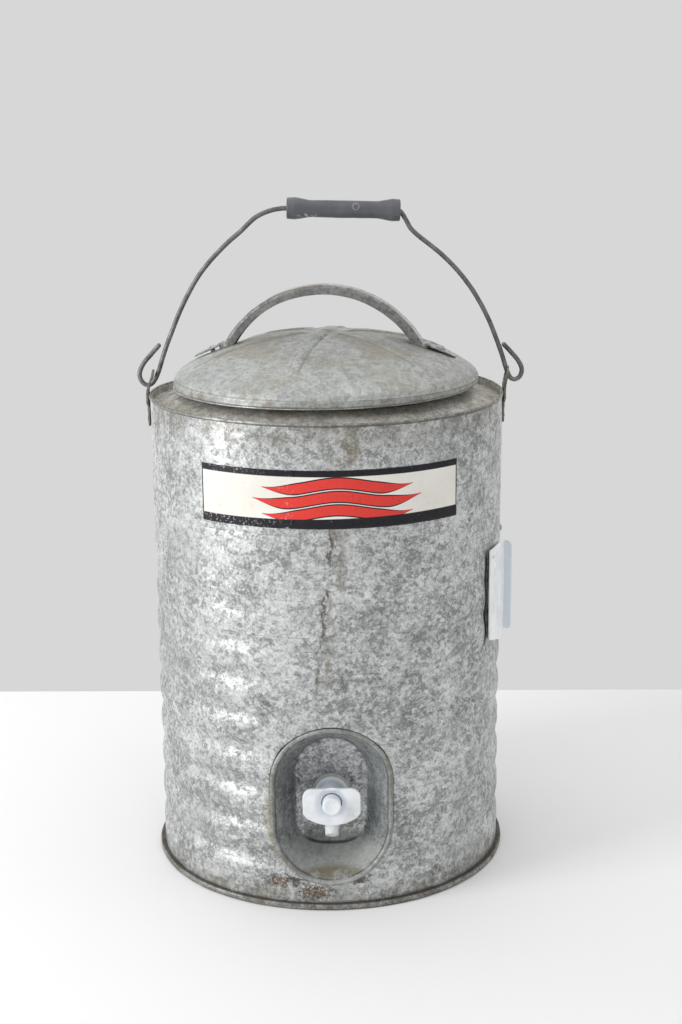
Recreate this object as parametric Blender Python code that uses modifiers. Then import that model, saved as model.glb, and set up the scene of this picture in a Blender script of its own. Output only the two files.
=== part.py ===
"""Insulated galvanized water cooler with a lift-off lid, a bail handle and a push-button spigot.

Metres, +Z up. The spigot faces -Y, the origin is at the middle of the base, on the floor.
Two sheet-metal vessels stand one inside the other with insulation between them. The outer one has
rolled beads, an oval alcove for the spigot and a crimped base. The lid drops over the tank's neck.
"""
import math

import bmesh
import bpy
from mathutils import Matrix, Vector

# Driving dimensions
SHELL_R = 0.1505          # outer radius of the plain band
RIM_Z = 0.410             # top edge of the shell
SHEET = 0.0007            # galvanized sheet
GAP = 0.0003              # air between neighbouring solids
FACETS = 40               # sides of every turned piece of the vessels

HEM_PROUD = 0.0013        # the rolled rim stands out from the shell by this much
HEM_TALL = 0.0065
BEAD_COUNT = 8
BEAD_PITCH = 0.0311
BEAD_DEPTH = 0.0022
FIRST_BEAD_Z = 0.0425     # height of the lowest groove

CHIME_PROUD = 0.0040      # the base seam stands out from the shell by this much
CHIME_TALL = 0.0080
CHIME_WIDE = 0.0050
CHIME_ROUND = 0.0012      # how far the seam's outer corners are cut back
BASE_RECESS = 0.0060      # the base plate is this far off the floor

ALCOVE_Z = 0.0900         # middle of the alcove
ALCOVE_WIDE = 0.0955
ALCOVE_TALL = 0.1320
ALCOVE_FLOOR_WIDE = 0.0590
ALCOVE_FLOOR_TALL = 0.0920
ALCOVE_DEEP = 0.0380
ALCOVE_LIP = 0.0025
ALCOVE_BEND = 0.0015
ALCOVE_CUT_GAP = 0.0006
ALCOVE_STEPS = 14

SPACER_ROOM = 0.0045      # from the alcove's floor to the tank
TANK_R = SHELL_R - ALCOVE_DEEP - SPACER_ROOM
TANK_FLOOR_Z = 0.0450
TANK_SHOULDER = 0.0020
NECK_Z = RIM_Z + 0.0035   # top of the deck's crown
NECK_COLLAR_R = TANK_R + 0.0050
DECK_EDGE_DROP = 0.0065   # the deck meets the shell this far under the rim
DECK_LIP_TOP = 0.0020     # the deck's lip ends this far under the rim
DECK_LIP_DEEP = 0.0060    # and reaches this far under the cone's edge
DECK_CROWN = 0.0030       # width of the crown's flat
DECK_ROUND = 0.0012
COLLAR_TALL = 0.0120

LID_R = NECK_COLLAR_R + 0.0160
LID_SKIRT_Z = NECK_Z + 0.0021   # lower edge of the lid's skirt
LID_SKIRT_TALL = 0.0048
LID_RISE = 0.0385         # the dome's height over its skirt
LID_BOSS_R = 0.0085
LID_BOSS_TALL = 0.0022
LID_PLUG_R = NECK_COLLAR_R - 0.0100
LID_PLUG_DEEP = 0.0260
LID_TURN = math.radians(-8.0)   # the lid sits turned by this much
DOME_STEPS = 6

ARCH_R = LID_R - 0.0302   # outer radius of the lid handle's arch
ARCH_LIFT = 0.0022        # the arch's back stands this far over the dome at its ends
ARCH_WIDE = 0.0160
ARCH_FLANGE = 0.0075
ARCH_SHEET = 0.0014
ARCH_HALF_ANGLE = math.radians(66.0)
ARCH_STEPS = 22
FOOT_LONG = 0.0350
FOOT_WIDE = 0.0170
FOOT_THICK = 0.0014
FOOT_R = ARCH_R - 0.0033   # middle of each foot

EAR_WIDE = 0.0180
EAR_THICK = 0.0016
EAR_LOW_Z = RIM_Z - 0.0285
EAR_JOG_TALL = 0.0035
EAR_RIVET_DROPS = (0.0035, 0.0115)   # each rivet's distance under the joggle
PIVOT_Z = RIM_Z + 0.0105

WIRE_R = 0.0020
EAR_HOLE_R = WIRE_R + 0.0030
BAIL_RISE = 0.1425        # the bail's top over its pivot
BAIL_SWAY = 0.0040        # the bail's top is bent this far to the right
BAIL_LEAN = math.radians(1.6)   # and its right end is lower by this slope
BAIL_STRAIGHT = 0.0605    # half of the straight stretch at the top
ARM_BENDS = ((0.054, 0.028), (0.150, 0.126), (0.406, 0.277), (0.622, 0.456), (0.779, 0.653),
             (0.877, 0.835), (0.910, 0.919), (0.949, 0.965))   # shares of the way out and down
HOOK_R = 0.0073
HOOK_ANGLE = math.radians(42.0)   # the wire's slope where it passes through the ear
HOOK_START = math.radians(222.0)
HOOK_END = math.radians(378.0)
HOOK_STEPS = 10
HOOK_TIP_TALL = 0.0265    # the hook's tip over the pivot
HOOK_TIP_IN = 0.0045      # and this far inside it
GRIP_LONG = 0.0950
GRIP_END_R = 0.0093
GRIP_WAIST_R = 0.0070
GRIP_SHIFT = 0.0160       # the grip's middle is this far to the right
GRIP_BORE_GAP = 0.0004

SPIGOT_Z = 0.0900
WING_FRONT = 0.0300       # the wing plate's face stands this far out of the alcove's floor
WING_WIDE = 0.0480
WING_UP = 0.0130
WING_DOWN = 0.0195
WING_CORNER = 0.0080
WING_SAG = 0.0065         # how much the wide bottom arc curves
WING_THICK = 0.0032
BUTTON_R = 0.0077
BUTTON_GAP = 0.0004
BUTTON_PROUD = 0.0067
BUTTON_LONG = 0.0125
BARREL_R = BUTTON_R + 0.0028
FLANGE_R = BARREL_R + 0.0035
FLANGE_THICK = 0.0030
GASKET_R = FLANGE_R + 0.0016
GASKET_THICK = 0.0025
SHANK_R = 0.0068
SPRING_ROOM = 0.0147      # depth of the barrel's bore behind the button
SPRING_WIRE = 0.0004
SPRING_TURNS = 4
SEAT_THICK = 0.0030
SEAL_THICK = 0.0025
SPOUT_R = 0.0057
SPOUT_BORE_R = 0.0040
SPOUT_BACK = 0.0092       # the spout's axis is this far behind the wing's face
SPOUT_DROP = 0.0362       # the spout's tip is this far under the barrel's axis
SPOUT_CUT = math.radians(35.0)
NUT_R = 0.0130
NUT_THICK = 0.0070
WASHER_R = 0.0120
SHANK_BEYOND = 0.0020     # the shank stands out of its nut by this much
STEM_R = 0.0018
VALVE_SEAT_R = 0.0030
VALVE_BORE_R = 0.0048

LABEL_LOW_Z = RIM_Z - 0.0845
LABEL_HIGH_Z = RIM_Z - 0.0375
LABEL_MIDDLE = math.radians(0.8)
LABEL_HALF = math.radians(42.5)
LABEL_THICK = 0.0004
LABEL_STEPS = 24

BRACKET_TURN = math.radians(-23.0)   # direction the bracket's plate faces, from +X
BRACKET_OFF = 0.0010                 # air between the plate and the shell
BRACKET_FRONT = 0.0140               # plate ahead of the line nearest the shell
BRACKET_BACK = 0.0266
BRACKET_LOW_Z = 0.2060
BRACKET_HIGH_Z = 0.2845
BRACKET_LOBE = 0.0090                # the plate's back corner hangs this much lower
BRACKET_FLANGE = 0.0075
BRACKET_SHEET = 0.0014
BRACKET_CORNER = 0.0025
BRACKET_RIVET_ZS = (0.2240, 0.2680)

RIVET_R = 0.0028
RIVET_HEAD = 0.0012
RIVET_DEEP = 0.0034       # shank length under the head
FOOT_RIVET_R = 0.0040
SHELL_RIVET_TURN = math.radians(-9.5)
SHELL_RIVET_Z = 0.2925
FOAM_ROOM = 0.0030        # the foam keeps this far from the alcove
FOAM_GAP = 0.0006
CUT_ROOM = 0.0100         # how far a cutter reaches beyond what it cuts

COLLECTION = "galvanized_water_cooler"

SEATING_R = SHELL_R - SHEET                 # inside of the shell's wall
FLOOR_Y = -(SHELL_R - ALCOVE_DEEP)          # face of the alcove's floor
WING_Y = FLOOR_Y - WING_FRONT
EAR_X = SHELL_R + HEM_PROUD + GAP           # inner face of each ear's upper half
PIVOT_X = EAR_X + EAR_THICK / 2
EAR_JOG_Z = RIM_Z - HEM_TALL - HEM_PROUD - EAR_JOG_TALL - GAP
BAIL_TOP_Z = PIVOT_Z + BAIL_RISE
FRONT = -math.pi / 2
BORE_END_Y = WING_Y - BUTTON_PROUD + BUTTON_LONG + SPRING_ROOM
SEAT_Y = BORE_END_Y + SEAT_THICK            # the valve's seat, facing the tank
TANK_FLAT_R = (TANK_R - SHEET) * math.cos(math.pi / FACETS)   # axis to the middle of a facet
WASHER_Y = -math.sqrt(TANK_FLAT_R ** 2 - WASHER_R ** 2)
SHANK_END_Y = WASHER_Y + GASKET_THICK + GAP + NUT_THICK + SHANK_BEYOND


# ---------------------------------------------------------------- helpers

def clear_scene():
    for obj in list(bpy.data.objects):
        bpy.data.objects.remove(obj, do_unlink=True)


def make_material(name, color, roughness, metallic):
    material = bpy.data.materials.new(name)
    material.use_nodes = True
    shader = material.node_tree.nodes["Principled BSDF"]
    shader.inputs["Base Color"].default_value = (*color, 1.0)
    shader.inputs["Roughness"].default_value = roughness
    shader.inputs["Metallic"].default_value = metallic
    material.diffuse_color = (*color, 1.0)
    return material


def new_object(name, mesh, material, collection):
    obj = bpy.data.objects.new(name, mesh)
    if material:
        mesh.materials.append(material)
    collection.objects.link(obj)
    return obj


def bm_to_object(name, bm, material, collection):
    mesh = bpy.data.meshes.new(name)
    bm.to_mesh(mesh)
    bm.free()
    return new_object(name, mesh, material, collection)


def turned(name, outline, material, collection, closed=False, facets=FACETS):
    """Turn an (r, z) outline about Z. It runs down its outer side, from top to bottom."""
    bm = bmesh.new()
    verts = [bm.verts.new((r, 0.0, z)) for r, z in outline]
    for a, b in zip(verts, verts[1:]):
        bm.edges.new((a, b))
    if closed:
        bm.edges.new((verts[-1], verts[0]))
    obj = bm_to_object(name, bm, material, collection)
    screw = obj.modifiers.new("turn", "SCREW")
    screw.steps = facets
    screw.render_steps = facets
    screw.use_merge_vertices = True
    screw.merge_threshold = 0.00005
    screw.use_smooth_shade = False
    return obj


def disc(name, radius, y0, y1, center_z, material, collection, facets=24):
    """A solid cylinder along Y between two Y values."""
    bm = bmesh.new()
    bmesh.ops.create_cone(bm, cap_ends=True, segments=facets, radius1=radius, radius2=radius,
                          depth=abs(y1 - y0))
    turn = Matrix.Rotation(math.radians(90), 4, "X")
    bmesh.ops.transform(bm, matrix=Matrix.Translation((0, (y0 + y1) / 2, center_z)) @ turn,
                        verts=bm.verts)
    return bm_to_object(name, bm, material, collection)


def block(name, low, high, material, collection):
    bm = bmesh.new()
    bmesh.ops.create_cube(bm, size=1.0)
    size = Vector(high) - Vector(low)
    middle = (Vector(high) + Vector(low)) / 2
    bmesh.ops.transform(bm, matrix=Matrix.Translation(middle) @ Matrix.Diagonal((*size, 1.0)),
                        verts=bm.verts)
    return bm_to_object(name, bm, material, collection)


def prism(name, outline, low, high, matrix, material, collection):
    """A flat outline in local XY, from local Z low to high, as a mesh placed by a matrix."""
    curve = bpy.data.curves.new(name, "CURVE")
    curve.dimensions = "2D"
    curve.fill_mode = "BOTH"
    curve.extrude = (high - low) / 2
    spline = curve.splines.new("POLY")
    spline.points.add(len(outline) - 1)
    for point, (x, y) in zip(spline.points, outline):
        point.co = (x, y, 0.0, 1.0)
    spline.use_cyclic_u = True
    guide = bpy.data.objects.new(name + "_curve", curve)
    collection.objects.link(guide)
    obj = curve_to_mesh(name, guide, material, collection)
    obj.data.transform(matrix @ Matrix.Translation((0, 0, (low + high) / 2)))
    return obj


def curve_to_mesh(name, guide, material, collection):
    bpy.context.view_layer.update()
    evaluated = guide.evaluated_get(bpy.context.evaluated_depsgraph_get())
    mesh = bpy.data.meshes.new_from_object(evaluated)
    mesh.name = name
    bm = bmesh.new()
    bm.from_mesh(mesh)
    bmesh.ops.remove_doubles(bm, verts=bm.verts, dist=0.000005)
    bmesh.ops.recalc_face_normals(bm, faces=bm.faces)
    bm.to_mesh(mesh)
    bm.free()
    mesh.materials.clear()
    place = guide.matrix_world.copy()
    bpy.data.objects.remove(guide, do_unlink=True)
    obj = new_object(name, mesh, material, collection)
    obj.matrix_world = place
    return obj


def wire(name, points, radius, material, collection):
    curve = bpy.data.curves.new(name, "CURVE")
    curve.dimensions = "3D"
    curve.bevel_depth = radius
    curve.bevel_resolution = 2
    curve.use_fill_caps = True
    spline = curve.splines.new("POLY")
    spline.points.add(len(points) - 1)
    for point, place in zip(spline.points, points):
        point.co = (*place, 1.0)
    guide = bpy.data.objects.new(name + "_curve", curve)
    collection.objects.link(guide)
    return curve_to_mesh(name, guide, material, collection)


def boolean(obj, tool, operation):
    modifier = obj.modifiers.new(operation.lower(), "BOOLEAN")
    modifier.operation = operation
    modifier.object = tool
    tool.hide_render = True
    tool.display_type = "WIRE"


def oval(half_wide, half_tall, steps):
    """A stadium outline with upright straight sides, anticlockwise from the right."""
    straight = half_tall - half_wide
    points = []
    for side in (1, -1):
        for i in range(steps + 1):
            angle = math.pi * i / steps + (0 if side > 0 else math.pi)
            points.append((half_wide * math.cos(angle), side * straight + half_wide * math.sin(angle)))
    return points


def rounded(corners, steps=5):
    """An outline through (x, y, radius) corners, each corner rounded by an arc."""
    points = []
    count = len(corners)
    for i, (x, y, radius) in enumerate(corners):
        here = Vector((x, y))
        if radius == 0:
            points.append((x, y))
            continue
        before = (Vector(corners[i - 1][:2]) - here).normalized()
        after = (Vector(corners[(i + 1) % count][:2]) - here).normalized()
        half = before.angle(after) / 2
        middle = here + (before + after).normalized() * radius / math.sin(half)
        start = here + before * radius / math.tan(half) - middle
        end = here + after * radius / math.tan(half) - middle
        for k in range(steps + 1):
            spoke = start.lerp(end, k / steps).normalized() * radius
            points.append(tuple(middle + spoke))
    return points


def smooth_path(points, step):
    """Points about `step` apart on a Catmull-Rom curve through the given points."""
    ends = [2 * points[0] - points[1]] + points + [2 * points[-1] - points[-2]]
    path = []
    for p0, p1, p2, p3 in zip(ends, ends[1:], ends[2:], ends[3:]):
        count = max(1, round((p2 - p1).length / step))
        for i in range(count):
            t = i / count
            path.append(0.5 * (2 * p1 + (p2 - p0) * t + (2 * p0 - 5 * p1 + 4 * p2 - p3) * t * t
                               + (3 * p1 - p0 - 3 * p2 + p3) * t ** 3))
    return path + [points[-1]]


def facing(angle):
    """Matrix whose local Z points out from the axis at an angle from +X, with local Y upwards."""
    out = Vector((math.cos(angle), math.sin(angle), 0))
    along = Vector((-math.sin(angle), math.cos(angle), 0))
    return Matrix((along, Vector((0, 0, 1)), out)).transposed().to_4x4()


def thicken(obj, thickness, towards, face):
    """Give an open surface a thickness on the side that one of its faces shows is `towards`."""
    skin = obj.modifiers.new("sheet", "SOLIDIFY")
    skin.thickness = thickness
    skin.use_even_offset = True
    skin.offset = 1.0 if face.normal.dot(towards) > 0 else -1.0


# ---------------------------------------------------------------- vessels

def shell_wall(inset):
    """The shell's wall under the hem, top to bottom, moved inwards by an inset."""
    wall = SHELL_R - inset
    points = [(wall, RIM_Z - HEM_TALL - HEM_PROUD)]
    for i in reversed(range(BEAD_COUNT)):
        groove = FIRST_BEAD_Z + i * BEAD_PITCH
        points.append((wall, groove + BEAD_PITCH / 2))
        points.append((wall - BEAD_DEPTH, groove))
    points.append((wall, FIRST_BEAD_Z - BEAD_PITCH / 2))
    points.append((wall, CHIME_TALL + GAP))
    return points


def build_outer_shell(steel, parts, tools):
    """The shell's sheet, with a rolled hem at the rim and an oval hole for the alcove."""
    hem = SHELL_R + HEM_PROUD
    round_over = HEM_PROUD / 2
    outside = [(hem - round_over, RIM_Z), (hem, RIM_Z - round_over), (hem, RIM_Z - HEM_TALL)]
    outside += shell_wall(0.0)
    inside = [(SEATING_R, RIM_Z)] + shell_wall(SHEET)
    shell = turned("outer_shell", outside + inside[::-1], steel, parts, closed=True)
    hole = alcove_prism("alcove_hole", ALCOVE_CUT_GAP, 0.5 * SHELL_R, tools)
    boolean(shell, hole, "DIFFERENCE")
    return shell


def alcove_prism(name, room, low, tools):
    """A cutter that clears the alcove, from a distance ahead of the axis outwards."""
    outline = oval(ALCOVE_WIDE / 2 + room, ALCOVE_TALL / 2 + room, 12)
    place = Matrix.Translation((0, 0, ALCOVE_Z)) @ facing(FRONT)
    return prism(name, outline, low, 2 * SHELL_R, place, None, tools)


def build_bottom_pan(steel, parts):
    """The base plate, with its edge rolled into the seam that stands on the floor."""
    outer = SHELL_R + CHIME_PROUD
    inner = outer - CHIME_WIDE
    low = BASE_RECESS
    outline = [(0, low + SHEET), (inner - 2 * SHEET, low + SHEET), (inner - SHEET, CHIME_TALL),
               (outer - CHIME_ROUND, CHIME_TALL), (outer, CHIME_TALL - CHIME_ROUND),
               (outer, CHIME_ROUND), (outer - CHIME_ROUND, 0), (inner, 0), (inner, low), (0, low)]
    turned("bottom_pan", outline, steel, parts)


def build_deck(steel, parts):
    """The top ring: a lip inside the rim, a cone up to the crown, and a collar down to the tank."""
    edge = SEATING_R - GAP
    lip = edge - SHEET
    top = RIM_Z - DECK_LIP_TOP
    low = RIM_Z - DECK_EDGE_DROP
    neck = NECK_COLLAR_R
    crown = neck + DECK_CROWN
    collar = NECK_Z - COLLAR_TALL
    outline = [(edge, top), (edge, low - DECK_LIP_DEEP), (lip, low - DECK_LIP_DEEP),
               (lip, low - SHEET), (crown, NECK_Z - SHEET), (neck + SHEET, NECK_Z - 2 * SHEET),
               (neck + SHEET, collar), (neck, collar), (neck, NECK_Z - DECK_ROUND),
               (neck + DECK_ROUND, NECK_Z), (crown, NECK_Z), (lip, low), (lip, top)]
    turned("deck", outline, steel, parts, closed=True)


def build_inner_tank(steel, parts, tools):
    """The water tank, hung by its neck inside the deck's collar."""
    neck = NECK_COLLAR_R - GAP
    neck_low = NECK_Z - COLLAR_TALL + TANK_SHOULDER
    low = TANK_FLOOR_Z
    shoulder = [(neck, NECK_Z), (neck, neck_low), (TANK_R, neck_low - 3 * TANK_SHOULDER),
                (TANK_R, low)]
    lining = [(r - SHEET, z) for r, z in shoulder]
    lining[-1] = (TANK_R - SHEET, low + SHEET)
    outline = [(0, low + SHEET)] + lining[::-1] + shoulder + [(0, low)]
    tank = turned("inner_tank", outline, steel, parts)
    hole = disc("tank_hole", SHANK_R + GAP, -SHELL_R, -TANK_R / 2, SPIGOT_Z, None, tools)
    boolean(tank, hole, "DIFFERENCE")


def build_insulation(foam, parts, tools):
    """Foam between the vessels: a jacket round the tank and a disc under it, clear of the alcove."""
    room = alcove_prism("alcove_room", FOAM_ROOM, TANK_R - FOAM_ROOM, tools)
    outer = SEATING_R - BEAD_DEPTH - FOAM_GAP
    inner = TANK_R + FOAM_GAP
    top = NECK_Z - COLLAR_TALL - 4 * TANK_SHOULDER
    low = TANK_FLOOR_Z
    jacket = turned("wall_insulation", [(outer, top), (outer, low), (inner, low), (inner, top)],
                    foam, parts, closed=True)
    boolean(jacket, room, "DIFFERENCE")
    high = low - GAP
    seat = BASE_RECESS + SHEET + GAP
    disc_outline = [(0, high), (outer, high), (outer, seat), (0, seat)]
    base = turned("base_insulation", disc_outline, foam, parts)
    boolean(base, room, "DIFFERENCE")


def alcove_rings():
    """Point rings of the spigot alcove, from the lip on the shell to the floor."""
    def ring(grow, depth_at):
        outline = oval(ALCOVE_WIDE / 2 + grow, ALCOVE_TALL / 2 + grow, ALCOVE_STEPS)
        return [(x, depth_at(x), z + ALCOVE_Z) for x, z in outline]

    def floor_ring(grow, rise):
        outline = oval(ALCOVE_FLOOR_WIDE / 2 + grow, ALCOVE_FLOOR_TALL / 2 + grow, ALCOVE_STEPS)
        return [(x, FLOOR_Y - rise, z + ALCOVE_Z) for x, z in outline]

    def on_shell(height):
        return lambda x: -math.sqrt((SHELL_R + height) ** 2 - x * x)

    bend = ALCOVE_BEND
    lip_height = on_shell(SHEET + 2 * GAP)
    return [ring(ALCOVE_LIP, lip_height), ring(0.0, lip_height), ring(-bend, on_shell(-bend)),
            floor_ring(bend, 2 * bend), floor_ring(0.0, 0.0)]


def build_alcove_pan(steel, parts, tools):
    """The pressed oval dish that the spigot stands in: a loft between two unlike ovals."""
    bm = bmesh.new()
    rings = [[bm.verts.new(p) for p in ring] for ring in alcove_rings()]
    count = len(rings[0])
    for upper, lower in zip(rings, rings[1:]):
        for i in range(count):
            j = (i + 1) % count
            bm.faces.new((upper[i], upper[j], lower[j], lower[i]))
    bm.faces.new(rings[-1])
    bmesh.ops.recalc_face_normals(bm, faces=bm.faces)
    pan = bm_to_object("alcove_pan", bm, steel, parts)
    thicken(pan, SHEET, Vector((0, 1, 0)), pan.data.polygons[-1])
    hole = disc("pan_hole", SHANK_R + GAP, FLOOR_Y - CUT_ROOM, FLOOR_Y + CUT_ROOM, SPIGOT_Z,
                None, tools)
    boolean(pan, hole, "DIFFERENCE")


def build_label(paper, parts):
    """The thin curved label: a bowed strip given a thickness."""
    radius = SHELL_R + GAP
    middle = LABEL_MIDDLE - math.pi / 2
    bm = bmesh.new()
    columns = []
    for i in range(LABEL_STEPS + 1):
        angle = middle - LABEL_HALF + 2 * LABEL_HALF * i / LABEL_STEPS
        x, y = radius * math.cos(angle), radius * math.sin(angle)
        columns.append([bm.verts.new((x, y, z)) for z in (LABEL_LOW_Z, LABEL_HIGH_Z)])
    for a, b in zip(columns, columns[1:]):
        bm.faces.new((a[0], b[0], b[1], a[1]))
    label = bm_to_object("label", bm, paper, parts)
    skin = label.modifiers.new("thickness", "SOLIDIFY")
    skin.thickness = LABEL_THICK
    skin.offset = 1.0


# ---------------------------------------------------------------- ears and bracket

def fasten(name, place, out, plates, depth, steel, parts, tools, radius=RIVET_R):
    """A rivet whose head sits at a place and points out, with its hole in each plate it holds."""
    turn = Vector((0, 0, 1)).rotation_difference(Vector(out)).to_matrix().to_4x4()
    stand = Matrix.Translation(place) @ turn
    shank = radius / 2
    outline = [(0, RIVET_HEAD + GAP), (radius * 0.7, RIVET_HEAD), (radius, GAP), (shank, GAP),
               (shank, -depth), (0, -depth)]
    rivet = turned(name, outline, steel, parts, facets=12)
    rivet.matrix_world = stand
    hole = shank + GAP
    drill_outline = [(0, depth), (hole, depth), (hole, -2 * depth), (0, -2 * depth)]
    drill = turned(name + "_drill", drill_outline, None, tools, facets=12)
    drill.matrix_world = stand
    for plate in plates:
        boolean(plate, drill, "DIFFERENCE")


def build_ears(shell, steel, parts, tools):
    """A joggled strap each side: flat on the shell, then out past the hem, with the bail's hole."""
    low_x = SHELL_R + GAP
    half = EAR_WIDE / 2
    tip = PIVOT_Z + half
    section = [(low_x, EAR_LOW_Z - half), (low_x, EAR_JOG_Z), (EAR_X, EAR_JOG_Z + EAR_JOG_TALL),
               (EAR_X, tip + half)]
    outline = rounded([(-half, EAR_LOW_Z, half / 2), (half, EAR_LOW_Z, half / 2),
                       (half, tip, half * 0.99), (-half, tip, half * 0.99)])
    for side, name in ((-1, "left"), (1, "right")):
        angle = 0 if side > 0 else math.pi
        bm = bmesh.new()
        rows = [[bm.verts.new((side * x, y, z)) for y in (-2 * half, 2 * half)] for x, z in section]
        for a, b in zip(rows, rows[1:]):
            bm.faces.new((a[0], a[1], b[1], b[0]))
        ear = bm_to_object("ear_" + name, bm, steel, parts)
        thicken(ear, EAR_THICK, Vector((side, 0, 0)), ear.data.polygons[0])
        low, high = SHELL_R - EAR_WIDE, SHELL_R + EAR_WIDE
        shape = prism("ear_shape_" + name, outline, low, high, facing(angle), None, tools)
        boolean(ear, shape, "INTERSECT")
        eye = prism("ear_eye_" + name, oval(EAR_HOLE_R, EAR_HOLE_R, 8), low, high,
                    Matrix.Translation((0, 0, PIVOT_Z)) @ facing(angle), None, tools)
        boolean(ear, eye, "DIFFERENCE")
        for number, drop in enumerate(EAR_RIVET_DROPS, 1):
            place = (side * (low_x + EAR_THICK), 0, EAR_JOG_Z - drop)
            fasten(f"ear_rivet_{name}_{number}", place, (side, 0, 0), (ear, shell), RIVET_DEEP,
                   steel, parts, tools)


def build_bracket(shell, white, parts, tools):
    """A folded sheet bracket: a plate against the shell and a flange standing out at its back."""
    stand = facing(BRACKET_TURN)
    face = SHELL_R + BRACKET_OFF
    corner = BRACKET_CORNER
    small = BRACKET_SHEET / 2
    outline = rounded([(-BRACKET_FRONT, BRACKET_LOW_Z, small),
                       (BRACKET_BACK / 2, BRACKET_LOW_Z - BRACKET_LOBE, corner),
                       (BRACKET_BACK, BRACKET_LOW_Z, corner),
                       (BRACKET_BACK, BRACKET_HIGH_Z, small),
                       (-BRACKET_FRONT, BRACKET_HIGH_Z, small)], steps=3)
    bracket = prism("side_bracket", outline, face, face + BRACKET_SHEET, stand, white, parts)
    low = face + BRACKET_SHEET / 2
    high = face + BRACKET_SHEET + BRACKET_FLANGE
    fold = rounded([(BRACKET_LOW_Z, low, 0), (BRACKET_LOW_Z, high, small),
                    (BRACKET_HIGH_Z, high, 2 * corner), (BRACKET_HIGH_Z, low, 0)], steps=4)
    onto_edge = Matrix(((0, 0, 1, 0), (1, 0, 0, 0), (0, 1, 0, 0), (0, 0, 0, 1)))
    flange = prism("bracket_flange", fold, BRACKET_BACK - BRACKET_SHEET,
                   BRACKET_BACK - BRACKET_SHEET / 8, stand @ onto_edge, None, tools)
    boolean(bracket, flange, "UNION")
    out = Vector((math.cos(BRACKET_TURN), math.sin(BRACKET_TURN), 0))
    for number, z in enumerate(BRACKET_RIVET_ZS, 1):
        place = out * (face + BRACKET_SHEET) + Vector((0, 0, z))
        fasten(f"bracket_rivet_{number}", place, out, (bracket, shell), RIVET_DEEP + BRACKET_OFF,
               white, parts, tools)


def build_shell_rivet(shell, steel, parts, tools):
    """A lone rivet above the bracket."""
    out = Vector((math.cos(SHELL_RIVET_TURN), math.sin(SHELL_RIVET_TURN), 0))
    place = out * SHELL_R + Vector((0, 0, SHELL_RIVET_Z))
    fasten("shell_rivet", place, out, (shell,), RIVET_DEEP, steel, parts, tools)


# ---------------------------------------------------------------- lid

def dome_z(radius):
    """Height of the lid's outer skin at a radius."""
    ball = (LID_R ** 2 + LID_RISE ** 2) / (2 * LID_RISE)
    return LID_SKIRT_Z + LID_SKIRT_TALL + LID_RISE - ball + math.sqrt(ball ** 2 - radius ** 2)


def dome_slope(radius):
    ball = (LID_R ** 2 + LID_RISE ** 2) / (2 * LID_RISE)
    return math.asin(radius / ball)


def dome_line(inset, first_r):
    """The dome from a first radius out to the skirt, moved down and in by an inset."""
    edge = LID_R - inset
    radii = [first_r + (edge - first_r) * i / DOME_STEPS for i in range(DOME_STEPS + 1)]
    return [(r, dome_z(r + inset) - inset) for r in radii]


def build_lid_shell(steel, parts, frame):
    """The lid's domed cover with a short skirt and a boss in the middle."""
    boss_z = dome_z(0) + LID_BOSS_TALL
    outer = [(0, boss_z), (LID_BOSS_R * 0.6, boss_z)] + dome_line(0.0, LID_BOSS_R)
    outer.append((LID_R, LID_SKIRT_Z))
    inner = [(0, boss_z - SHEET), (LID_BOSS_R * 0.6, boss_z - SHEET)] + dome_line(SHEET, LID_BOSS_R)
    inner.append((LID_R - SHEET, LID_SKIRT_Z))
    cover = turned("lid_shell", outer + inner[::-1], steel, parts)
    cover.parent = frame
    return cover


def build_lid_pan(steel, parts, frame):
    """The pan under the dome: a flange that rests on the crown and a plug that fills the neck."""
    edge = LID_R - SHEET - GAP
    rest = NECK_Z + GAP
    lip = LID_SKIRT_Z + LID_SKIRT_TALL / 2
    deep = rest - LID_PLUG_DEEP
    plug = LID_PLUG_R
    outline = [(0, deep + SHEET), (plug - SHEET, deep + SHEET), (plug - SHEET, rest + SHEET),
               (edge - SHEET, rest + SHEET), (edge - SHEET, lip), (edge, lip), (edge, rest),
               (plug, rest), (plug, deep), (0, deep)]
    turned("lid_pan", outline, steel, parts).parent = frame


def build_lid_insulation(foam, parts, frame):
    """Foam that fills the plug and most of the dome."""
    wide = LID_PLUG_R - SHEET - FOAM_GAP
    low = NECK_Z + GAP - LID_PLUG_DEEP + SHEET + FOAM_GAP
    shoulder = dome_z(wide) - SHEET - 3 * FOAM_GAP
    crown = dome_z(wide / 2) - SHEET - 3 * FOAM_GAP
    turned("lid_insulation", [(0, crown), (wide / 2, crown), (wide, shoulder), (wide, low), (0, low)],
           foam, parts).parent = frame


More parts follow.
